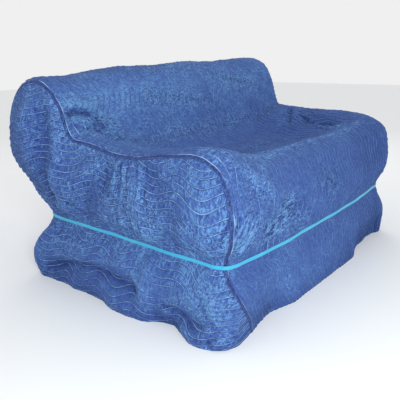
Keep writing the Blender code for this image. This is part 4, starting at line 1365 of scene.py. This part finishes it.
@dataclass(frozen=True)
class ThreadLines:
    """Finds where the quilting thread and the hem stitching run on the fine surfaces."""

    keep_off: float = 0.0105
    least_height: float = 0.003
    band_clear: float = 0.016
    shortest: int = 3
    hem_height: float = 0.014
    hem_lift: float = 0.0003
    hem_rows: int = 14
    hem_ends: int = 4

    def along_columns(self, surface: Surface, step: int) -> tuple[Lines, Lines]:
        """Thread lines that follow whole mesh columns."""
        lines, ups = [], []
        for column in range(step, surface.outer.shape[1] - 1, step):
            line, up, calm = (grid[:, column] for grid in (surface.outer, surface.normals, surface.calm))
            self.add_runs(line, up, calm, lines, ups)
        return lines, ups

    def across_rows(self, surface: Surface, step: int) -> tuple[Lines, Lines]:
        """Thread lines that cross the mesh rows, found in each column by their whole phase."""
        lines, ups = [], []
        grids = (surface.phase, surface.calm, surface.outer, surface.normals)
        phase, calm, outer, normals = (grid[:, ::step] for grid in grids)
        for count in range(math.ceil(phase.min()), math.floor(phase.max()) + 1):
            rows = np.array([np.interp(-count, -column, np.arange(len(phase))) for column in phase.T])
            line, up, free = (at_rows(grid, rows, len(phase) - 2) for grid in (outer, normals, calm))
            free = np.where((rows > 0.5) & (rows < len(phase) - 1.5), free, 0.0)
            self.add_runs(line, unit(up), free, lines, ups)
        return lines, ups

    def add_runs(self, line: Points, up: Points, calm: Points, lines: Lines, ups: Lines) -> None:
        """Adds the stretches of a line that lie off the seams and the band."""
        band = np.abs(line[:, 2] - BAND_MIDDLE) > self.band_clear
        keep = (calm > self.keep_off) & (line[:, 2] > self.least_height) & band
        edges = np.flatnonzero(np.diff(np.concatenate([[0], keep.astype(int), [0]])))
        for start, end in zip(edges[::2], edges[1::2]):
            if end - start > self.shortest:
                lines.append(line[start:end])
                ups.append(up[start:end])

    def hem(self, outer: Points, normals: Points) -> tuple[Points, Points]:
        """The line at the hem stitches' height, from rows of points that start at the hem."""
        heights = outer[: self.hem_rows, :, 2].T
        rows = np.array([np.interp(self.hem_height, column, np.arange(self.hem_rows)) for column in heights])
        line, up = (at_rows(grid, rows, self.hem_rows - 2) for grid in (outer, normals))
        up = unit(up)
        return line + self.hem_lift * up, up

    def hems(self, surfaces: dict[str, Surface]) -> tuple[Lines, Lines]:
        """All four stretches of hem stitching."""
        found = [self.hem(surfaces["long"].outer, surfaces["long"].normals)]
        for surface in surfaces.values():
            found.append(self.hem(surface.outer[::-1], surface.normals[::-1]))
        inner = slice(self.hem_ends, -self.hem_ends)
        return [line[inner] for line, _ in found], [up[inner] for _, up in found]


# Finishes


class Sock:
    """A shader socket with arithmetic."""

    def __init__(self, tree: bpy.types.NodeTree, source: NodeSocket) -> None:
        """Wraps one output socket."""
        self.tree = tree
        self.source = source

    def math(self, operation: str, *others: "Sock | float") -> "Sock":
        """The result of a math node on this socket and others, which the operators below name."""
        node = self.tree.nodes.new("ShaderNodeMath")
        node.operation = operation
        for place, value in enumerate((self, *others)):
            feed(self.tree, value, node.inputs[place])
        return Sock(self.tree, node.outputs[0])

    def __rsub__(self, other: float) -> "Sock":
        """Difference from the right."""
        return other + self * -1.0

    __add__ = __radd__ = partialmethod(math, "ADD")
    __mul__ = __rmul__ = partialmethod(math, "MULTIPLY")
    __sub__ = partialmethod(math, "SUBTRACT")
    __truediv__ = partialmethod(math, "DIVIDE")
    __pow__ = partialmethod(math, "POWER")
    sine = partialmethod(math, "SINE")
    size = partialmethod(math, "ABSOLUTE")

    def rise(self, low: float, high: float) -> "Sock":
        """0 below low, 1 above high and smooth between them; high may be the lower one."""
        node = self.tree.nodes.new("ShaderNodeMapRange")
        node.interpolation_type = "SMOOTHSTEP"
        ends = {"From Min": min(low, high), "From Max": max(low, high)}
        ends |= {"To Min": float(low > high), "To Max": float(low < high)}
        for name, value in {"Value": self, **ends}.items():
            feed(self.tree, value, node.inputs[name])
        return Sock(self.tree, node.outputs["Result"])


Colour = Triple


class FinishTree(TreeBuilder):
    """A material's node tree, built through a few named steps."""

    def __init__(self, name: str) -> None:
        """Starts a material with an empty tree but for its shader."""
        self.material = bpy.data.materials.new(name)
        self.material.use_nodes = True
        self.tree = self.material.node_tree
        self.shader = self.tree.nodes["Principled BSDF"]

    def sock(self, node: Node, output: str | int = 0) -> Sock:
        """One of a node's outputs."""
        return Sock(self.tree, node.outputs[output])

    def place(self) -> Sock:
        """The point's place in the object's own frame."""
        return self.sock(self.node("ShaderNodeTexCoord"), "Object")

    def cut(self) -> tuple[Sock, Sock]:
        """The place in the cut cloth, along and across, in metres."""
        parts = self.node("ShaderNodeSeparateXYZ", {0: self.node("ShaderNodeUVMap", uv_map="cut")})
        return self.sock(parts, 0), self.sock(parts, 1)

    def value(self, name: str) -> Sock:
        """A value kept with the mesh's points."""
        return self.sock(self.node("ShaderNodeAttribute", attribute_name=name), "Fac")

    def vector(self, x: Sock | float, y: Sock | float, z: Sock | float = 0.0) -> Sock:
        """A vector from three numbers."""
        return self.sock(self.node("ShaderNodeCombineXYZ", {0: x, 1: y, 2: z}))

    def stretched(self, parts: tuple[Sock, ...], scales: tuple[float, ...]) -> Sock:
        """A vector from numbers, each stretched by its own scale."""
        return self.vector(*(part * scale for part, scale in zip(parts, scales)))

    def noise(self, where: Sock, scale: float, detail: float = 3.0, rough: float = 0.55) -> Sock:
        """Noise round zero, about -1 to 1."""
        inputs = {"Vector": where, "Scale": scale, "Detail": detail, "Roughness": rough}
        return (self.sock(self.node("ShaderNodeTexNoise", inputs), "Fac") - 0.5) * 2.4

    def ridge(self, where: Sock, detail: float = 1.0) -> Sock:
        """Thin winding lines of about 0.7 on a ground a little under 0."""
        return (1.0 - self.noise(where, 1.0, detail, 0.6).size()).math("MAXIMUM", 0.0) ** 4.0 - 0.30

    def blend(self, share: Sock, first: "Colour | Sock", second: "Colour | Sock") -> Sock:
        """A colour between two."""
        ends = [colour if isinstance(colour, Sock) else (*colour, 1.0) for colour in (first, second)]
        return self.sock(self.node("ShaderNodeMix", {0: share, 6: ends[0], 7: ends[1]}, data_type="RGBA"), 2)

    def scaled(self, colour: Sock, factor: Sock) -> Sock:
        """A colour made brighter or darker."""
        return self.sock(self.node("ShaderNodeVectorMath", {0: colour, "Scale": factor}, operation="SCALE"))

    def bump(self, height: Sock, distance: float, strength: float = 1.0, below: Sock | None = None) -> Sock:
        """A normal from a height, on top of another bump."""
        inputs = {"Height": height, "Distance": distance, "Strength": strength}
        if below is not None:
            inputs["Normal"] = below
        return self.sock(self.node("ShaderNodeBump", inputs))

    def wear(self, colour: Sock, rough: Sock, normal: Sock, fixed: dict[str, float | tuple]) -> Material:
        """Feeds the shader and returns the finished material."""
        for name, value in {"Base Color": colour, "Roughness": rough, "Normal": normal, **fixed}.items():
            feed(self.tree, value, self.shader.inputs[name])
        return self.material


class Fan(NamedTuple):
    """A fan of pulls: how dense and long they are, a shift, and their limits in reach and in angle."""

    dense: float
    long: float
    shift: float
    begin: Pair
    end: Pair
    turn: Pair


@dataclass(frozen=True)
class QuiltedCloth:
    """Blue woven cloth over padding, with stitched lines, fibre, fading, creases, and painted light and
    shade.
    """

    deep: Colour = (0.022, 0.045, 0.175)
    main: Colour = (0.049, 0.096, 0.308)
    pale: Colour = (0.136, 0.302, 0.600)
    # Pale tone of the quilting lines: the thread's own paler colour and a painted highlight
    seam_line: Colour = (0.300, 0.500, 0.800)
    weave_rate: float = 2 * math.pi / 0.0011
    corner: Triple = (-0.815, -0.035, 0.300)
    fan_depth: Pair = (0.055, 0.020)
    fan_aside: Pair = (0.004, 0.016)
    fan_lift: Pair = (0.02, 0.12)
    close_fan: Fan = Fan(14.0, 6.0, 0.3, (0.015, 0.05), (0.24, 0.14), (0.30, 0.60))
    wide_fan: Fan = Fan(36.0, 8.0, 4.1, (0.17, 0.25), (0.62, 0.42), (0.44, 0.30))
    sheen_tint: Colour = (0.30, 0.62, 1.0)
    broad_scale: float = 4.0
    patch_scale: float = 21.0
    fleck_scale: float = 165.0
    speck_scale: float = 92.0
    fibre_scale: Pair = (420.0, 900.0)
    bend: Pair = (30.0, 0.006)
    lean: Pair = (24.0, 0.008)
    tuck_scale: Triple = (88.0, 5.3, 30.0)
    crinkle_scale: Triple = (110.0, 34.0, 1.7)
    main_rise: Pair = (0.10, 0.56)
    pale_rise: Pair = (0.48, 1.08)
    tone: float = 0.48
    shade_share: float = 0.24
    fibre_share: float = 0.12
    fleck_share: float = 0.30
    speck_share: float = 0.24
    tuck_shading: float = 0.30
    pull_shading: float = 1.3
    weave_depth: float = 0.00012
    crease_depth: float = 0.0036
    groove_depth: float = 0.0030
    groove_edge: float = 0.13
    thread_edge: Pair = (0.072, 0.034)

    def fans(self, tree: FinishTree, where: Sock, origin: Points) -> Sock:
        """Fine pulls in the front, fanned round the point where the band crosses the left seam.

        Args:
            tree: The finish's nodes.
            where: The point's place.
            origin: The place of the cover's own origin in the design frame.

        Returns:
            Their strength, about 0.7 on a pull and a little under 0 beside it.
        """
        start = (np.array(self.corner) - origin).tolist()
        parts = tree.node("ShaderNodeSeparateXYZ", {0: where})
        aside, behind, above = (tree.sock(parts, axis) - start[axis] for axis in range(3))
        angle, reach = above.math("ARCTAN2", aside), (aside * aside + above * above).math("SQRT")
        front = behind.rise(*self.fan_depth) * aside.rise(*self.fan_aside)
        pulls = []
        for fan in (self.close_fan, self.wide_fan):
            lines = tree.ridge(tree.vector(angle * fan.dense, reach * fan.long, fan.shift))
            pulls.append(lines * reach.rise(*fan.begin) * reach.rise(*fan.end) * angle.rise(*fan.turn))
        patch = (tree.noise(where, 6.5, 1.0) + 0.35).rise(0.0, 0.7)
        return (pulls[0] + pulls[1] * patch) * front * angle.rise(*self.fan_lift)

    def make(self, origin: Points) -> Material:
        """The cloth's material, given the place of the cover's own origin in the design frame."""
        tree = FinishTree("quilted_cloth_finish")
        where = tree.place()
        along, across = tree.cut()
        phase, shade, crush = tree.value("phase"), tree.value("shade"), tree.value("crush")
        pulled = self.fans(tree, where, origin)
        part = (phase * math.pi).sine().size()
        near = phase.math("FRACT")
        near = near.math("MINIMUM", 1.0 - near)
        channel = phase.math("FLOOR")
        broad, patch = tree.noise(where, self.broad_scale, 2.0), tree.noise(where, self.patch_scale, 3.0)
        fleck, speck = (tree.noise(where, scale, 2.0, 0.6) for scale in (self.fleck_scale, self.speck_scale))
        fibre = tree.noise(tree.stretched((along, across), self.fibre_scale), 1.0, 2.0)
        bent = across + tree.noise(where, self.bend[0], 1.0) * self.bend[1]
        leant = along + tree.noise(where, self.lean[0], 1.0) * self.lean[1]
        tuck = tree.noise(tree.stretched((leant, channel, bent), self.tuck_scale), 1.0, 2.0, 0.6)
        crinkle = tree.ridge(tree.stretched((leant, bent, channel), self.crinkle_scale), 2.0)
        spread = (0.55 + patch * 0.5 + broad * 0.3).rise(0.0, 1.0) * 0.8 + 0.2
        crinkle = crinkle * crush * spread
        # The shade value brings painted light and painted shade into the tone
        level = self.tone + broad * 0.10 + patch * 0.08 + fibre * self.fibre_share + shade * self.shade_share
        grain = fleck * self.fleck_share + speck * self.speck_share
        level = level + grain * (crush * 0.55 + 0.45)
        # Painted light and shade: puckers, crinkles and pulls are lighter on their ridges and darker beside
        # them
        level = level + tuck * part * crush * self.tuck_shading + crinkle + pulled * self.pull_shading
        low = tree.blend(level.rise(*self.main_rise), self.deep, self.main)
        colour = tree.blend(level.rise(*self.pale_rise), low, self.pale)
        groove = near.rise(self.groove_edge, 0.02)
        # Painted shadow: a dark band just beneath each quilting line, broken up by noise
        under = phase.math("FRACT")
        under = under.rise(0.74, 0.92) * under.rise(1.0, 0.955)
        broken = (0.45 + tree.noise(where, 38.0, 2.0) * 1.3).rise(0.0, 1.0)
        colour = tree.scaled(colour, 1.0 - under * broken * (crush * 0.22 + 0.16))
        # Pale line along each quilting line: partly the thread's paler colour, partly a painted highlight
        faint = (0.42 + tree.noise(where, 15.0, 3.0) * 1.2).rise(0.0, 1.0) * (crush * 1.05 - 0.12) + 0.06
        line = near.rise(*self.thread_edge) * tree.value("calm").rise(0.009, 0.012)
        colour = tree.blend(line * faint, colour, self.seam_line)
        weave = (along * self.weave_rate).sine() * (across * self.weave_rate).sine()
        first = tree.bump(weave * 0.5 + fibre * 0.5, self.weave_depth, 0.8)
        creased = tuck * part * (0.4 + 0.6 * crush) + crinkle * 1.3 + pulled * 1.2 + speck * 0.3 + fleck * 0.2
        second = tree.bump(creased, self.crease_depth, 1.0, first)
        third = tree.bump(1.0 - groove, self.groove_depth, 1.0, second)
        rough = 0.84 + fibre * 0.05 - shade * 0.03
        fixed = {"Sheen Weight": 0.10, "Sheen Roughness": 0.42, "Sheen Tint": (*self.sheen_tint, 1.0)}
        return tree.wear(colour, rough, third, {**fixed, "Specular IOR Level": 0.12})


@dataclass(frozen=True)
class WovenTape:
    """Woven tape or webbing with ribs across it, darker edges, a little fading and a painted edge highlight.
    """

    name: str
    deep: Colour
    main: Colour
    pale: Colour
    half: float
    rib: float
    roughness: float
    sheen: float
    rubbed: float = 0.1
    lit_edge: float = 0.0
    lit_tone: Colour = (0.42, 0.58, 0.86)
    noise_scales: Triple = (9.0, 320.0, 120.0)
    cord_ratio: float = 1.7

    def make(self) -> Material:
        """The tape's material."""
        tree = FinishTree(self.name)
        where = tree.place()
        along, across = tree.cut()
        share = across.size() / self.half
        edge = share.rise(0.86, 1.0)
        rib = (along * (2 * math.pi / self.rib)).sine()
        cord = (across * (2 * math.pi / (self.cord_ratio * self.rib))).sine()
        broad, fleck, rub = (tree.noise(where, scale, 2.0) for scale in self.noise_scales)
        level = 0.52 + broad * 0.16 + fleck * 0.12 + rub * self.rubbed
        level = level + rib * 0.05 + cord * 0.04 - edge * 0.25
        low = tree.blend(level.rise(0.05, 0.52), self.deep, self.main)
        colour = tree.blend(level.rise(0.50, 1.0), low, self.pale)
        # Painted highlight: pale broken glints along one edge, as strong as lit_edge
        rim = (across.math("MULTIPLY", -1.0) / self.half).rise(0.45, 0.80)
        glint = (tree.noise(where, 11.0, 3.0) * 1.4 + 0.35).rise(0.0, 1.0)
        colour = tree.blend(rim * glint * self.lit_edge, colour, self.lit_tone)
        normal = tree.bump(rib * cord * 0.5 + fleck * 0.3, 0.00025, 0.9)
        rough = self.roughness + fleck * 0.06
        fixed = {"Sheen Weight": self.sheen, "Sheen Roughness": 0.4, "Specular IOR Level": 0.35}
        return tree.wear(colour, rough, normal, fixed)


@dataclass(frozen=True)
class SewingThread:
    """Twisted thread, a little paler than the cloth."""

    name: str
    dark: Colour
    light: Colour
    patch_scale: float = 26.0
    twist: float = 0.0013

    def make(self) -> Material:
        """The thread's material."""
        tree = FinishTree(self.name)
        where = tree.place()
        patch = tree.noise(where, self.patch_scale, 2.0, 0.6)
        ply = tree.noise(where, 1.0 / self.twist, 1.0)
        colour = tree.blend((0.42 + patch * 1.3 + ply * 0.2).rise(0.0, 1.0), self.dark, self.light)
        normal = tree.bump(ply, 0.0002, 0.7)
        fixed = {"Sheen Weight": 0.10, "Specular IOR Level": 0.15}
        return tree.wear(colour, 0.55 + patch * 0.08, normal, fixed)


@dataclass(frozen=True)
class StudioFloor:
    """A plain, very pale floor."""

    tone: Colour = (0.86, 0.87, 0.88)

    def make(self) -> Material:
        """The floor's material."""
        tree = FinishTree("studio_floor_finish")
        patch = tree.noise(tree.place(), 1.5, 2.0)
        darker = tuple(0.985 * part for part in self.tone)
        colour = tree.blend((0.5 + patch * 0.3).rise(0.0, 1.0), self.tone, darker)
        bump = tree.bump(patch, 0.0005, 0.2)
        return tree.wear(colour, 0.7 + patch * 0.03, bump, {"Specular IOR Level": 0.2})


# Studio


@dataclass(frozen=True)
class SoftLight:
    """A square area light aimed at a point."""

    name: str
    place: Triple
    aim: Triple
    size: float
    power: float
    colour: Colour = (1.0, 1.0, 1.0)

    def make(self, origin: Points) -> None:
        """Adds the light, with its places given in the design frame."""
        data = bpy.data.lights.new(self.name, "AREA")
        data.shape = "SQUARE"
        data.size = self.size
        data.energy = self.power
        data.color = self.colour
        made = new_object(self.name, data)
        made.location = Vector(np.array(self.place) - origin)
        toward = Vector(self.aim) - Vector(self.place)
        made.rotation_euler = toward.to_track_quat("-Z", "Y").to_euler()


@dataclass(frozen=True)
class Studio:
    """The floor, the lights, the sky and the camera at the photograph's angle."""

    floor_size: float = 30.0
    sky: Colour = (1.0, 1.0, 1.0)
    sky_strength: float = 0.87
    eye: Triple = (-2.1203663, -0.9820650, 1.0211123)
    yaw: float = 0.8886244
    pitch: float = 0.2777116
    roll: float = -0.0164886
    focal: float = 506.91408
    frame_width: float = 400.0
    sensor: float = 36.0
    lights: tuple[SoftLight, ...] = (
        SoftLight("key", (-2.5, -2.1, 1.5), (-0.3, 0.3, 0.4), 0.7, 76.0, (0.93, 1.0, 1.0)),
        SoftLight("rim", (2.8, 2.6, 2.2), (0.0, 0.6, 0.5), 2.0, 22.0, (0.96, 0.98, 1.0)),
    )

    def make(self, origin: Points) -> None:
        """Sets up everything round the cover."""
        self.add_floor(origin)
        for light in self.lights:
            light.make(origin)
        world = bpy.data.worlds.new("studio_sky")
        world.use_nodes = True
        backdrop = world.node_tree.nodes["Background"]
        backdrop.inputs["Color"].default_value = (*self.sky, 1.0)
        backdrop.inputs["Strength"].default_value = self.sky_strength
        bpy.context.scene.world = world
        bpy.context.scene.view_settings.view_transform = "Standard"
        self.add_camera(origin)

    def add_floor(self, origin: Points) -> None:
        """Adds the floor, which isn't part of the object."""
        half = 0.5 * self.floor_size
        corners = [(x * half, y * half, 0.0) for x, y in ((-1, -1), (1, -1), (1, 1), (-1, 1))]
        mesh = bpy.data.meshes.new("studio_floor")
        mesh.from_pydata([tuple(np.array(corner) - origin) for corner in corners], [], [(0, 1, 2, 3)])
        mesh.materials.append(StudioFloor().make())
        new_object("studio_floor", mesh)

    def add_camera(self, origin: Points) -> None:
        """Adds the camera that was fitted to the photograph."""
        turns = (self.yaw, self.pitch, self.roll)
        (sy, cy), (sp, cp), (sr, cr) = ((math.sin(turn), math.cos(turn)) for turn in turns)
        ahead = Vector((sy * cp, cy * cp, -sp))
        level = Vector((cy, -sy, 0.0))
        upright = level.cross(ahead)
        right = cr * level + sr * upright
        upward = cr * upright - sr * level
        place = Vector(np.array(self.eye) - origin)
        data = bpy.data.cameras.new("photo_camera")
        data.sensor_width = self.sensor
        data.lens = self.focal / self.frame_width * self.sensor
        made = new_object("photo_camera", data)
        made.matrix_world = Matrix(
            [[right[row], upward[row], -ahead[row], place[row]] for row in range(3)] + [[0.0, 0.0, 0.0, 1.0]]
        )
        bpy.context.scene.camera = made


# The whole cover


@dataclass
class LoveseatCover:
    """The dressed cover: makes each piece and tells the frame which body it rides on."""

    cloth: CoverCloth = field(default_factory=CoverCloth)
    binding: SeamBinding = field(default_factory=SeamBinding)
    band: CinchBand = field(default_factory=CinchBand)
    threads: ThreadLines = field(default_factory=ThreadLines)
    quilt_thread: QuiltThread = field(default_factory=QuiltThread)
    stitches: StitchRow = field(default_factory=StitchRow)
    tape_finish: WovenTape = WovenTape(
        name="binding_tape_finish",
        deep=(0.004, 0.012, 0.080),
        main=(0.011, 0.034, 0.160),
        pale=(0.050, 0.130, 0.360),
        half=0.0085,
        rib=0.0016,
        roughness=0.70,
        sheen=0.05,
        rubbed=0.7,
        lit_edge=1.0,
    )
    band_finish: WovenTape = WovenTape(
        name="band_webbing_finish",
        deep=(0.016, 0.240, 0.420),
        main=(0.040, 0.380, 0.600),
        pale=(0.130, 0.560, 0.780),
        half=0.0079,
        rib=0.0019,
        roughness=0.50,
        sheen=0.15,
    )
    long_finish: SewingThread = SewingThread("long_thread_finish", (0.055, 0.11, 0.31), (0.17, 0.33, 0.62))
    side_finish: SewingThread = SewingThread("side_thread_finish", (0.12, 0.24, 0.54), (0.32, 0.51, 0.84))
    hem_finish: SewingThread = SewingThread("stitch_thread_finish", (0.06, 0.11, 0.30), (0.24, 0.33, 0.56))
    long_lining: tuple[int, int] = (2, 4)
    side_lining: tuple[int, int] = (4, 4)
    side_thread_step: int = 2

    def make(self) -> None:
        """Builds all pieces."""
        shop = Workshop(tuple(self.cloth.form.hold_point))
        parts = self.cloth.build()
        panels = self.add_panels(shop, parts)
        trims = self.add_trims(shop, parts)
        threads = self.add_threads(shop, parts)
        self.declare(panels, trims, threads)

    def add_panels(self, shop: Workshop, parts: ClothParts) -> dict[str, Object]:
        """The three quilted panels."""
        cloth = QuiltedCloth().make(self.cloth.form.hold_point)
        made = {}
        for name, surface in parts.surfaces.items():
            coarse = self.long_lining if name == "long" else self.side_lining
            made[name] = shop.piece(name + "_quilted", sheet_shape(surface, coarse), cloth)
            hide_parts(name + "_panel")
        return made

    def add_trims(self, shop: Workshop, parts: ClothParts) -> dict[str, Object]:
        """The two bindings and the band."""
        tape, webbing = self.tape_finish.make(), self.band_finish.make()
        made = {}
        for name, seam in parts.seams.items():
            made[name] = shop.piece(name + "_tape", self.binding.shape(seam), tape)
            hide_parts(name + "_binding")
        made["band"] = shop.piece("waist_band", self.band.shape(parts.ring, parts.seams), webbing)
        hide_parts("band")
        return made

    def add_threads(self, shop: Workshop, parts: ClothParts) -> dict[str, Object]:
        """The quilting thread on each panel, and the stitches on the bindings and hems."""
        finishes = (self.hem_finish, self.long_finish, self.side_finish)
        sewn, on_long, on_side = (finish.make() for finish in finishes)
        made = {}
        for name, surface in parts.surfaces.items():
            if name == "long":
                lines, ups = self.threads.along_columns(surface, self.cloth.quilting.steps_per_line)
            else:
                lines, ups = self.threads.across_rows(surface, self.side_thread_step)
            finish = on_long if name == "long" else on_side
            made[name] = self.quilt_thread.make(shop, name + "_thread", lines, ups, finish)
        for name, seam in parts.seams.items():
            lines, ups = self.binding.stitch_lines(seam)
            made[name + "_stitches"] = self.stitches.make(shop, name + "_stitches", lines, ups, sewn)
        lines, ups = self.threads.hems(parts.surfaces)
        made["hem"] = self.stitches.make(shop, "hem_stitches", lines, ups, sewn)
        return made

    def declare(self, panels: dict, trims: dict, threads: dict) -> None:
        """Tells the frame which body each piece rides on."""
        for piece in [*panels.values(), *trims.values(), *threads.values()]:
            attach(piece, BODY)
        for piece in [*panels.values(), *threads.values()]:
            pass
        together = [trims["left"], trims["right"], threads["long"], threads["hem"]]
        together += [threads["left_stitches"], threads["right_stitches"]]


def main() -> None:
    """Makes the studio and the cover."""
    logging.basicConfig(level=logging.INFO, format="%(name)s: %(message)s")
    cover = LoveseatCover()
    Studio().make(cover.cloth.form.hold_point)
    cover.make()
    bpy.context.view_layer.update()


if __name__ == "__main__":
    main()
